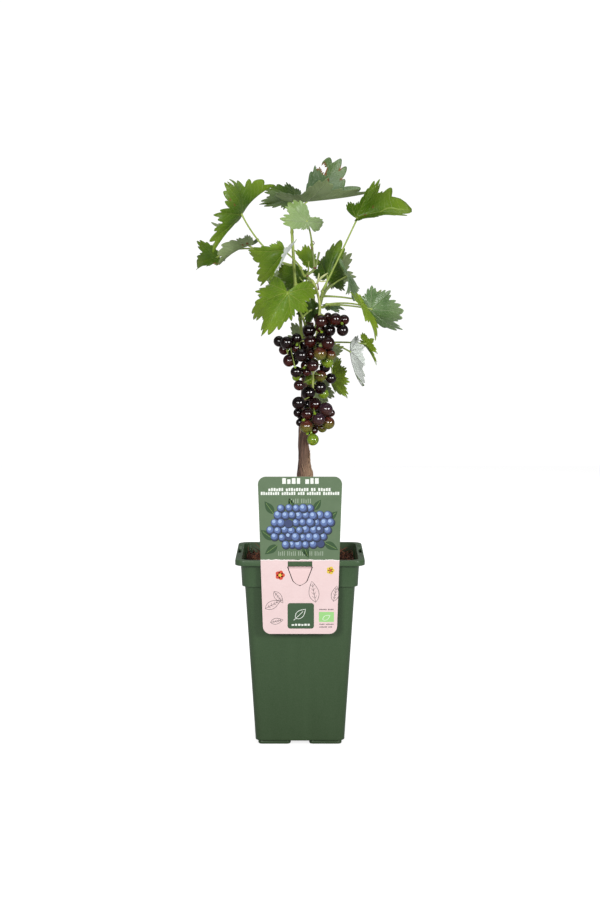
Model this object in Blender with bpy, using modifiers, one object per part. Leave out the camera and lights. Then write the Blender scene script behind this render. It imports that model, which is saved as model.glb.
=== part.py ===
"""Young grapevine with one bunch of grapes, in a tall square nursery pot with its hang-on label.

Metres, +Z up. The origin is on the ground under the middle of the pot, and the front faces -Y.
The trunk carries three green shoots. Each mass of leaves has one stem, which meets a shoot or
the trunk with a hairline gap, and leaf stalks that fork from the end of that stem.
"""
import random
from math import atan2, cos, degrees, hypot, pi, radians, sin, sqrt

import bmesh
import bpy
from mathutils import Matrix, Vector

GAP = 0.0003                  # hairline between pieces that touch

POT_HEIGHT = 0.2215
POT_RIM = 0.0750              # half widths of the pot's parts
POT_COLLAR_TOP = 0.0690
POT_COLLAR_FOOT = 0.0672
POT_BODY_TOP = 0.0638
POT_BODY_FOOT = 0.0523
POT_FEET = 0.0490
POT_WALL = 0.0015
POT_CORNER = 0.165            # corner radius as a share of the half width
COLLAR_FOOT_Z = 0.1900
LIP_FOOT_Z = 0.2150
FOOT_HEIGHT = 0.0046
FLOOR_THICKNESS = 0.0020
FOOT_GAP_WIDTH = 0.0216
CORNER_STEPS = 3              # segments in each rounded corner
SLOT_WIDTH = 0.0270           # label slot in the middle of each side of the rim
DRAIN_HOLE_RADIUS = 0.0045
DRAIN_HOLE_PITCH = 0.0280     # from the hole in the middle to the four in the channels

SOIL_TOP = 0.2085
SOIL_LUMP = 0.0022

LABEL_TOP_Z = 0.3190
LABEL_FOOT_Z = 0.1365
LABEL_TOP_WIDTH = 0.0965
LABEL_FOOT_WIDTH = 0.0855
LABEL_CORNER = 0.0090
LABEL_THICKNESS = 0.0006
TONGUE_WIDTH = 0.0250
TONGUE_HEAD_Z = 0.2226        # top of the window that the tongue is cut from
TONGUE_FOOT_Z = 0.1935

LEAF_THICKNESS = 0.0010
LEAF_POINTS = 30              # corners of a leaf's outline, a tip or a notch every 12 degrees
TOOTH_STEP = 24               # degrees between tooth tips
TOOTH_DEPTH = 0.07
LOBE_STEP = 48                # degrees between the five lobes and the two at the stalk
LOBE_DIP = 0.55               # how deep the bays between them are
LOBE_WIDTHS = (40, 38, 40, 44)
STALK_RADIUS = 0.0011
STEM_RADIUS = 0.0016
KNOT_RADIUS = 0.0021          # swelling where the stalks fork
BLADE_CUP = 0.12              # how far the margins fall below the stalk's end
BLADE_WAVE = 0.04

VINE_GREEN = (0.23, 0.31, 0.075)
LEAF_GREEN = (0.11, 0.21, 0.035)


def clear_scene():
    for thing in list(bpy.data.objects):
        bpy.data.objects.remove(thing, do_unlink=True)


def make_collection(name):
    group = bpy.data.collections.new(name)
    bpy.context.scene.collection.children.link(group)
    return group


def make_material(name, colour, roughness):
    finish = bpy.data.materials.new(name)
    finish.use_nodes = True
    shader = finish.node_tree.nodes["Principled BSDF"]
    shader.inputs["Base Color"].default_value = (*colour, 1.0)
    shader.inputs["Roughness"].default_value = roughness
    shader.inputs["Metallic"].default_value = 0.0
    return finish


def add_object(name, mesh, group, finish=None):
    thing = bpy.data.objects.new(name, mesh)
    group.objects.link(thing)
    if finish:
        mesh.materials.clear()
        mesh.materials.append(finish)
    return thing


def mesh_of(bm, name):
    bmesh.ops.recalc_face_normals(bm, faces=bm.faces)
    mesh = bpy.data.meshes.new(name)
    bm.to_mesh(mesh)
    bm.free()
    return mesh


def baked_copy(thing):
    """Mesh of an object with its modifiers applied, in world space."""
    bpy.context.view_layer.update()
    seen = thing.evaluated_get(bpy.context.evaluated_depsgraph_get())
    mesh = bpy.data.meshes.new_from_object(seen)
    mesh.transform(thing.matrix_world)
    return mesh


def bake(thing):
    """Replace an object by a plain mesh object of the same name, with its loose caps welded."""
    mesh = baked_copy(thing)
    bm = bmesh.new()
    bm.from_mesh(mesh)
    bmesh.ops.remove_doubles(bm, verts=bm.verts, dist=0.00001)
    bm.to_mesh(mesh)
    bm.free()
    name, group = thing.name, thing.users_collection[0]
    finishes = list(thing.data.materials)
    bpy.data.objects.remove(thing, do_unlink=True)
    return add_object(name, mesh, group, finishes[0] if finishes else None)


def cut(thing, cutter):
    """Take a cutter out of an object for good."""
    carve = thing.modifiers.new("Cut", "BOOLEAN")
    carve.operation = "DIFFERENCE"
    carve.solver = "EXACT"
    carve.object = cutter
    whole = bake(thing)
    bpy.data.objects.remove(cutter, do_unlink=True)
    return whole


def keep_main_body(mesh):
    """Drop loose scraps and sealed hollows, so that one closed body is left."""
    bm = bmesh.new()
    bm.from_mesh(mesh)
    bmesh.ops.remove_doubles(bm, verts=bm.verts, dist=0.000002)
    unseen = set(bm.faces)
    bodies = []
    while unseen:
        queue = [unseen.pop()]
        body = list(queue)
        while queue:
            for edge in queue.pop().edges:
                for face in edge.link_faces:
                    if face in unseen:
                        unseen.discard(face)
                        body.append(face)
                        queue.append(face)
        bodies.append(body)
    main = max(bodies, key=len)
    scraps = [face for body in bodies if body is not main for face in body]
    bmesh.ops.delete(bm, geom=scraps, context="FACES")
    bm.to_mesh(mesh)
    bm.free()


def fuse(first, others, name, solver="EXACT"):
    """Join the others into the first object with one union on their collection."""
    joined = bpy.data.collections.new(name + "_joined")
    bpy.context.scene.collection.children.link(joined)
    for thing in others:
        for group in list(thing.users_collection):
            group.objects.unlink(thing)
        joined.objects.link(thing)
    union = first.modifiers.new("Union", "BOOLEAN")
    union.operation = "UNION"
    union.operand_type = "COLLECTION"
    union.collection = joined
    union.solver = solver
    whole = bake(first)
    keep_main_body(whole.data)
    for thing in list(joined.objects):
        bpy.data.objects.remove(thing, do_unlink=True)
    bpy.data.collections.remove(joined)
    return whole


def tube(name, points, radii, group, finish, sides=6):
    """Closed round tube along a few points, with a radius at each."""
    curve = bpy.data.curves.new(name, "CURVE")
    curve.dimensions = "3D"
    curve.bevel_depth = 1.0
    curve.bevel_resolution = (sides - 4) // 2
    curve.use_fill_caps = True
    run = curve.splines.new("POLY")
    run.points.add(len(points) - 1)
    for knot, place, radius in zip(run.points, points, radii):
        knot.co = (*place, 1.0)
        knot.radius = radius
    thing = bpy.data.objects.new(name, curve)
    group.objects.link(thing)
    curve.materials.append(finish)
    return bake(thing)


def between(low, high, share):
    return low + (high - low) * share


def arc_route(start, middle, end, steps):
    """Points along a bowed line from start to end, pulled towards the middle point."""
    start, middle, end = Vector(start), Vector(middle), Vector(end)
    route = []
    for step in range(steps + 1):
        t = step / steps
        route.append(start * (1 - t) ** 2 + middle * 2 * t * (1 - t) + end * t * t)
    return route


# The pot

def square_ring(half_width, height, corner=POT_CORNER):
    """Points of a rounded square, anticlockwise from its +X +Y corner."""
    radius = half_width * corner
    ring = []
    for quarter in range(4):
        for step in range(CORNER_STEPS + 1):
            turn = (quarter + step / CORNER_STEPS) * pi / 2
            side_x = 1 if quarter in (0, 3) else -1
            side_y = 1 if quarter in (0, 1) else -1
            ring.append(Vector((side_x * (half_width - radius) + radius * cos(turn),
                                side_y * (half_width - radius) + radius * sin(turn), height)))
    return ring


def square_turning(name, profile, group, finish):
    """Closed solid whose level sections are rounded squares, capped at both ends of the profile."""
    bm = bmesh.new()
    ring = [bm.verts.new(place) for place in square_ring(*profile[0])]
    bm.faces.new(ring)
    edges = [bm.edges.get((ring[i], ring[(i + 1) % len(ring)])) for i in range(len(ring))]
    for half_width, height in profile[1:]:
        grown = bmesh.ops.extrude_edge_only(bm, edges=edges)["geom"]
        verts = [part for part in grown if isinstance(part, bmesh.types.BMVert)]
        edges = [part for part in grown if isinstance(part, bmesh.types.BMEdge)]
        places = square_ring(half_width, height)
        for vert in verts:
            turn = atan2(vert.co.y, vert.co.x)
            vert.co = min(places, key=lambda place: abs(atan2(place.y, place.x) - turn))
    bmesh.ops.contextual_create(bm, geom=edges)
    return add_object(name, mesh_of(bm, name), group, finish)


def box(name, low, high, group):
    bm = bmesh.new()
    size = Vector(high) - Vector(low)
    bmesh.ops.create_cube(bm, size=1.0)
    bmesh.ops.scale(bm, vec=size, verts=bm.verts)
    bmesh.ops.translate(bm, vec=Vector(low) + size / 2, verts=bm.verts)
    thing = add_object(name, mesh_of(bm, name), group)
    thing.hide_render = True
    thing.display_type = "WIRE"
    return thing


def build_pot(group, cutters):
    green = make_material("pot_green_plastic", (0.045, 0.082, 0.040), 0.42)
    inner_top = POT_COLLAR_TOP - POT_WALL
    plate_foot = POT_HEIGHT - 0.0018
    profile = [
        (POT_FEET - 0.0006, 0.0), (POT_FEET, 0.0006), (POT_FEET, FOOT_HEIGHT),
        (POT_BODY_FOOT - 0.0010, FOOT_HEIGHT), (POT_BODY_FOOT, FOOT_HEIGHT + 0.0012),
        (POT_BODY_TOP, COLLAR_FOOT_Z - 0.0006), (POT_COLLAR_FOOT, COLLAR_FOOT_Z + 0.0006),
        (POT_COLLAR_TOP, plate_foot), (POT_RIM - POT_WALL, plate_foot),
        (POT_RIM - POT_WALL, LIP_FOOT_Z), (POT_RIM, LIP_FOOT_Z),
        (POT_RIM, POT_HEIGHT - 0.0008), (POT_RIM - 0.0008, POT_HEIGHT),
        (inner_top + 0.0006, POT_HEIGHT), (inner_top, POT_HEIGHT - 0.0006),
        (POT_COLLAR_FOOT - POT_WALL, COLLAR_FOOT_Z + 0.0010),
        (POT_BODY_TOP - POT_WALL, COLLAR_FOOT_Z - 0.0012),
        (POT_BODY_FOOT - POT_WALL, FOOT_HEIGHT + FLOOR_THICKNESS),
    ]
    pot = square_turning("pot", profile, group, green)
    reach = POT_RIM
    half_gap = FOOT_GAP_WIDTH / 2
    below = -0.001
    pot = cut(pot, box("foot_gap_x", (-reach, -half_gap, below), (reach, half_gap, FOOT_HEIGHT), cutters))
    pot = cut(pot, box("foot_gap_y", (-half_gap, -reach, below), (half_gap, reach, FOOT_HEIGHT), cutters))
    near = POT_COLLAR_TOP + 0.0004
    far = POT_RIM - POT_WALL - 0.0002
    for quarter in range(4):
        slot = box(f"rim_slot_{quarter}", (-SLOT_WIDTH / 2, -far, LIP_FOOT_Z + 0.001),
                   (SLOT_WIDTH / 2, -near, POT_HEIGHT + 0.001), cutters)
        slot.data.transform(Matrix.Rotation(quarter * pi / 2, 4, "Z"))
        pot = cut(pot, slot)
    for side_x, side_y in ((0, 0), (1, 0), (0, 1), (-1, 0), (0, -1)):
        bm = bmesh.new()
        bmesh.ops.create_cone(bm, cap_ends=True, segments=8, radius1=DRAIN_HOLE_RADIUS,
                              radius2=DRAIN_HOLE_RADIUS, depth=0.02)
        place = Vector((side_x * DRAIN_HOLE_PITCH, side_y * DRAIN_HOLE_PITCH, FOOT_HEIGHT))
        bmesh.ops.translate(bm, vec=place, verts=bm.verts)
        hole = add_object("drain_hole", mesh_of(bm, "drain_hole"), cutters)
        hole.hide_render = True
        hole.display_type = "WIRE"
        pot = cut(pot, hole)
    return pot


def build_soil(group):
    brown = make_material("potting_soil_brown", (0.035, 0.018, 0.012), 0.95)
    clear = POT_WALL + GAP + 0.0001
    profile = [
        (POT_BODY_FOOT - clear - 0.0004, FOOT_HEIGHT + FLOOR_THICKNESS + GAP),
        (POT_BODY_TOP - clear, COLLAR_FOOT_Z - 0.0008),
        (POT_COLLAR_FOOT - clear, COLLAR_FOOT_Z + 0.0018),
        (POT_COLLAR_FOOT - clear + 0.0010, SOIL_TOP - SOIL_LUMP),
        (POT_COLLAR_FOOT - clear - 0.0030, SOIL_TOP), (0.0420, SOIL_TOP), (0.0180, SOIL_TOP),
    ]
    soil = square_turning("potting_soil", profile, group, brown)
    lumps = random.Random(5)
    for vert in soil.data.vertices:
        inner = hypot(vert.co.x, vert.co.y)
        if vert.co.z > SOIL_TOP - SOIL_LUMP / 2 and inner > 0.030:
            vert.co.z += lumps.uniform(-SOIL_LUMP, SOIL_LUMP)
    return soil


# The hang-on label

def label_outline(bm, level):
    """Four rounded corners of the tapering card, in the X and Z directions."""
    corners = [(LABEL_FOOT_WIDTH / 2, LABEL_FOOT_Z, 3), (LABEL_TOP_WIDTH / 2, LABEL_TOP_Z, 0),
               (-LABEL_TOP_WIDTH / 2, LABEL_TOP_Z, 1), (-LABEL_FOOT_WIDTH / 2, LABEL_FOOT_Z, 2)]
    ring = []
    for x, z, quarter in corners:
        side_x = 1 if x > 0 else -1
        side_z = 1 if quarter in (0, 1) else -1
        for step in range(CORNER_STEPS + 1):
            turn = (quarter + step / CORNER_STEPS) * pi / 2
            ring.append(bm.verts.new((x - side_x * LABEL_CORNER + LABEL_CORNER * cos(turn), level,
                                      z - side_z * LABEL_CORNER + LABEL_CORNER * sin(turn))))
    return ring


def build_label(group, cutters):
    card = make_material("label_card", (0.62, 0.44, 0.40), 0.45)
    face = -POT_RIM - GAP - LABEL_THICKNESS
    bm = bmesh.new()
    front = bm.faces.new(label_outline(bm, face))
    grown = bmesh.ops.extrude_face_region(bm, geom=[front])["geom"]
    back = [part for part in grown if isinstance(part, bmesh.types.BMVert)]
    bmesh.ops.translate(bm, vec=(0, LABEL_THICKNESS, 0), verts=back)
    label = add_object("plant_label", mesh_of(bm, "plant_label"), group, card)
    half = TONGUE_WIDTH / 2
    window = box("label_window", (-half - 0.0006, face - 0.002, TONGUE_FOOT_Z - 0.0010),
                 (half + 0.0006, face + 0.002, TONGUE_HEAD_Z), cutters)
    label = cut(label, window)
    middle = face + LABEL_THICKNESS / 2
    slot_middle = -(POT_COLLAR_TOP + POT_RIM - POT_WALL) / 2 - 0.0001
    route = [(middle, TONGUE_HEAD_Z + 0.0002), (middle + 0.0007, TONGUE_HEAD_Z + 0.0013),
             (slot_middle - 0.0010, TONGUE_HEAD_Z + 0.0011), (slot_middle, TONGUE_HEAD_Z - 0.0010),
             (slot_middle, TONGUE_FOOT_Z)]
    bm = bmesh.new()
    chain = [bm.verts.new((-half, y, z)) for y, z in route]
    edges = [bm.edges.new(pair) for pair in zip(chain, chain[1:])]
    grown = bmesh.ops.extrude_edge_only(bm, edges=edges)["geom"]
    side = [part for part in grown if isinstance(part, bmesh.types.BMVert)]
    bmesh.ops.translate(bm, vec=(TONGUE_WIDTH, 0, 0), verts=side)
    tongue = add_object("tongue", mesh_of(bm, "tongue"), group, card)
    wall = tongue.modifiers.new("Wall", "SOLIDIFY")
    wall.thickness = LABEL_THICKNESS
    wall.offset = 0
    return fuse(label, [bake(tongue)], "plant_label")


# Trunk and shoots: each a row of (x, y, z) places with a radius at each

TRUNK = [(0.0020, 0.0000, SOIL_TOP + GAP, 0.0125), (0.0020, 0.0000, 0.2150, 0.0098),
         (0.0028, 0.0008, 0.2350, 0.0080), (0.0045, 0.0020, 0.2850, 0.0074),
         (0.0054, 0.0030, 0.3040, 0.0090), (0.0056, 0.0032, 0.3130, 0.0093),
         (0.0050, 0.0038, 0.3230, 0.0074), (0.0044, 0.0040, 0.3360, 0.0063),
         (0.0045, 0.0040, 0.3600, 0.0062), (0.0071, 0.0040, 0.4100, 0.0060),
         (0.0095, 0.0040, 0.4600, 0.0056), (0.0108, 0.0040, 0.4850, 0.0052),
         (0.0112, 0.0040, 0.4925, 0.0044)]


def leave_limb(limb, height, heading):
    """First two points of a stem that leaves a limb squarely, a hairline clear of its bark."""
    low, high = next(pair for pair in zip(limb, limb[1:]) if pair[0][2] <= height <= pair[1][2])
    share = (height - low[2]) / (high[2] - low[2])
    centre = Vector(low[:3]).lerp(Vector(high[:3]), share)
    radius = between(low[3], high[3], share)
    axis = (Vector(high[:3]) - Vector(low[:3])).normalized()
    heading = Vector(heading)
    heading = (heading - axis * heading.dot(axis)).normalized()
    start = centre + heading * (radius + GAP)
    return start, start + heading * 0.003


def tip_stem(limb):
    """First two points of a stem that carries a limb on from its tip."""
    tip, before = Vector(limb[-1][:3]), Vector(limb[-2][:3])
    heading = (tip - before).normalized()
    return tip + heading * GAP, tip + heading * 0.003


def shoot(points, thick, thin):
    """A tapering shoot from its places, thick at the foot and thin at the tip."""
    last = len(points) - 1
    return [(*place, between(thick, thin, i / last)) for i, place in enumerate(points)]


LEFT_FOOT, LEFT_COLLAR = leave_limb(TRUNK, 0.4740, (-0.85, -0.45, 0.25))
SHOOT_LEFT = shoot([LEFT_FOOT, LEFT_COLLAR, (0.0002, -0.0012, 0.4966), (-0.0052, 0.0, 0.5364),
                    (-0.0072, 0.0, 0.5632), (-0.0094, 0.0, 0.5981), (-0.0099, 0.0, 0.6170)],
                   0.0021, 0.0016)
SHOOT_MIDDLE = shoot([*tip_stem(TRUNK), (0.0140, 0.0025, 0.5020), (0.0169, 0.0, 0.5134),
                      (0.0150, -0.001, 0.5207), (0.0117, -0.002, 0.5411), (0.0082, 0.0, 0.5475),
                      (0.0164, 0.0, 0.5557), (0.0144, 0.0, 0.5772)], 0.0028, 0.0013)
RIGHT_FOOT, RIGHT_COLLAR = leave_limb(TRUNK, 0.4850, (0.80, -0.45, 0.50))
SHOOT_RIGHT = shoot([RIGHT_FOOT, RIGHT_COLLAR, (0.0215, -0.0030, 0.5050), (0.0240, -0.0030, 0.5190)],
                    0.0022, 0.0016)
LIMBS = (TRUNK, SHOOT_LEFT, SHOOT_MIDDLE, SHOOT_RIGHT)


def build_limb(name, limb, group, finish, sides):
    places = [row[:3] for row in limb]
    radii = [row[3] for row in limb]
    return tube(name, places, radii, group, finish, sides)


# Leaves

def leaf(junction, clock, lean, roll, length, fold=(0, 0), droop=0,
         left=(0.88, 0.68, 0.52), right=(0.88, 0.68, 0.52), spread=(1.0, 1.0), curls=(0,) * 7, bow=None):
    """One leaf: where its stalk ends, and how the blade lies.

    clock turns the midrib in the front view, 0 to the right and 90 up, lean brings it forward,
    and roll turns the blade about it, 0 with the upper face to the front. fold lifts the left and
    right halves, droop bends the midrib down, left and right are the lengths of the side lobes
    as shares of the midrib. curls lifts the tips of the lobes, from the one right of the stalk
    round to the one left of it, and bow shifts the middle of the stalk.
    """
    return {"junction": Vector(junction), "clock": clock, "lean": lean, "roll": roll,
            "length": length, "fold": fold, "droop": droop, "left": left, "right": right,
            "spread": spread, "curls": curls, "bow": bow}


def blade_frame(one):
    """Directions along the midrib, to the leaf's left, and out of its upper face."""
    clock, lean, roll = (radians(one[key]) for key in ("clock", "lean", "roll"))
    along = Vector((cos(lean) * cos(clock), -sin(lean), cos(lean) * sin(clock)))
    front = Vector((0, -1, 0))
    facing = (front - along * front.dot(along)).normalized()
    upper = facing * cos(roll) + facing.cross(along) * sin(roll)
    return along, upper.cross(along), upper


def lobed_radius(turn, sides):
    """Reach of the blade at an angle from the midrib, without its teeth."""
    lengths = (1.0, *sides[0 if turn >= 0 else 1])
    reach = 0
    for number, (width, length) in enumerate(zip(LOBE_WIDTHS, lengths)):
        off = abs(abs(turn) - number * LOBE_STEP) / width
        reach = max(reach, length * (1 - LOBE_DIP * off ** 1.3))
    opening = min(1, max(0, (180 - abs(turn)) / 16))
    return reach * (0.08 + 0.92 * opening ** 0.6)


def toothed_radius(turn, one, number):
    tooth = abs((turn / TOOTH_STEP + 0.5) % 1 - 0.5) * 2
    ripple = 1 + 0.035 * sin(3 * radians(turn) + number) + 0.025 * sin(7 * radians(turn) + 2.3 * number)
    return lobed_radius(turn, (one["left"], one["right"])) * ripple * (1 - TOOTH_DEPTH * tooth ** 0.85)


def curl_at(turn, curls):
    """Lift of the blade at an angle from the midrib, between the curls of its seven lobe tips."""
    seam = (curls[0] + curls[-1]) / 2
    stops = [(-180, seam), *zip(range(-144, 145, LOBE_STEP), curls), (180, seam)]
    low, high = next(pair for pair in zip(stops, stops[1:]) if turn <= pair[1][0] + 0.01)
    return between(low[1], high[1], (turn - low[0]) / (high[0] - low[0]))


def bent_point(x, y, one, number, curl):
    """Place of a flat blade's point once the blade is folded, drooped, cupped and waved."""
    reach = hypot(x, y)
    lift = BLADE_WAVE * reach * reach * sin(5 * atan2(y, x) + number) + (curl - BLADE_CUP) * reach * reach
    side = 1 if y >= 0 else -1
    fold = radians(one["fold"][0 if y >= 0 else 1])
    away = abs(y)
    tilt = fold * away / (away + 0.10)
    across = side * (away * cos(tilt) - lift * sin(tilt))
    rise = away * sin(tilt) + lift * cos(tilt)
    bend = radians(one["droop"])
    if abs(bend) < 0.001:
        return x, across, rise
    radius = 1 / bend
    return (radius + rise) * sin(bend * x), across, (radius + rise) * cos(bend * x) - radius


def blade_point(turn, share, one, number):
    """World place at an angle from the midrib and a share of the way out to the margin."""
    wide = one["spread"][0 if turn >= 0 else 1]
    reach = share * between(lobed_radius(turn, (one["left"], one["right"])),
                            toothed_radius(turn, one, number), share)
    along, left, upper = blade_frame(one)
    x, y, z = bent_point(reach * cos(radians(turn * wide)), reach * sin(radians(turn * wide)), one, number,
                         curl_at(turn, one["curls"]))
    return one["junction"] + (along * x + left * y + upper * z) * one["length"]


def build_blade(one, number, group, finish):
    """A thin lobed and toothed blade from a disc whose spokes are cut once."""
    bm = bmesh.new()
    bmesh.ops.create_circle(bm, cap_ends=True, cap_tris=True, segments=LEAF_POINTS, radius=1.0)
    spokes = [edge for edge in bm.edges if min(vert.co.length for vert in edge.verts) < 0.5]
    bmesh.ops.subdivide_edges(bm, edges=spokes, cuts=1)
    for vert in bm.verts:
        turn = degrees(atan2(-vert.co.x, vert.co.y))
        vert.co = blade_point(round(turn, 3), vert.co.length, one, number)
    blade = add_object("blade", mesh_of(bm, "blade"), group, finish)
    wall = blade.modifiers.new("Wall", "SOLIDIFY")
    wall.thickness = LEAF_THICKNESS
    wall.offset = 0
    return bake(blade)


def stalk_route(fork, one):
    """A leaf stalk bows from the fork to the blade, and comes up under it from behind."""
    along, left, upper = blade_frame(one)
    end = one["junction"]
    middle = (fork + end) / 2
    if one["bow"] is None:
        middle -= (upper * 0.22 + along * 0.12) * (end - fork).length
    else:
        middle += Vector(one["bow"])
    return arc_route(fork, middle, end + along * 0.0015, 4)


def clear_of_limbs(one, number, limbs, margin=0.004):
    """Whether the blade's lobes keep away from the limbs' middles."""
    for turn in range(-144, 145, 24):
        for share in (0.5, 1.0):
            place = blade_point(turn, share, one, number)
            for limb in limbs:
                for low, high in zip(limb, limb[1:]):
                    start, run = Vector(low[:3]), Vector(high[:3]) - Vector(low[:3])
                    t = min(1, max(0, (place - start).dot(run) / run.length_squared))
                    if (place - start - run * t).length < low[3] + margin:
                        return False
    return True


def inside(one, number, space):
    low, high = space
    for turn in range(-144, 145, 24):
        place = blade_point(turn, 1.0, one, number)
        if any(place[i] < low[i] or place[i] > high[i] for i in range(3)):
            return False
    return True


def sprout(fork, space, count, seed):
    """Leaves of a hidden mass: a seeded fan round the fork, of which the ones that fit are kept."""
    chance = random.Random(seed)
    kept = []
    for attempt in range(60):
        swing = 137.5 * attempt
        far = chance.uniform(0.022, 0.036)
        place = fork + Vector((cos(radians(swing)), chance.uniform(0.2, 0.9), sin(radians(swing)))) * far
        one = leaf(place, swing % 360, -chance.uniform(15, 45), 180 + chance.uniform(-40, 40),
                   chance.uniform(0.026, 0.034), droop=20)
        apart = all((place - other["junction"]).length > 0.034 for other in kept)
        if apart and inside(one, attempt, space) and clear_of_limbs(one, attempt, LIMBS):
            kept.append(one)
        if len(kept) == count:
            break
    return kept


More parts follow.
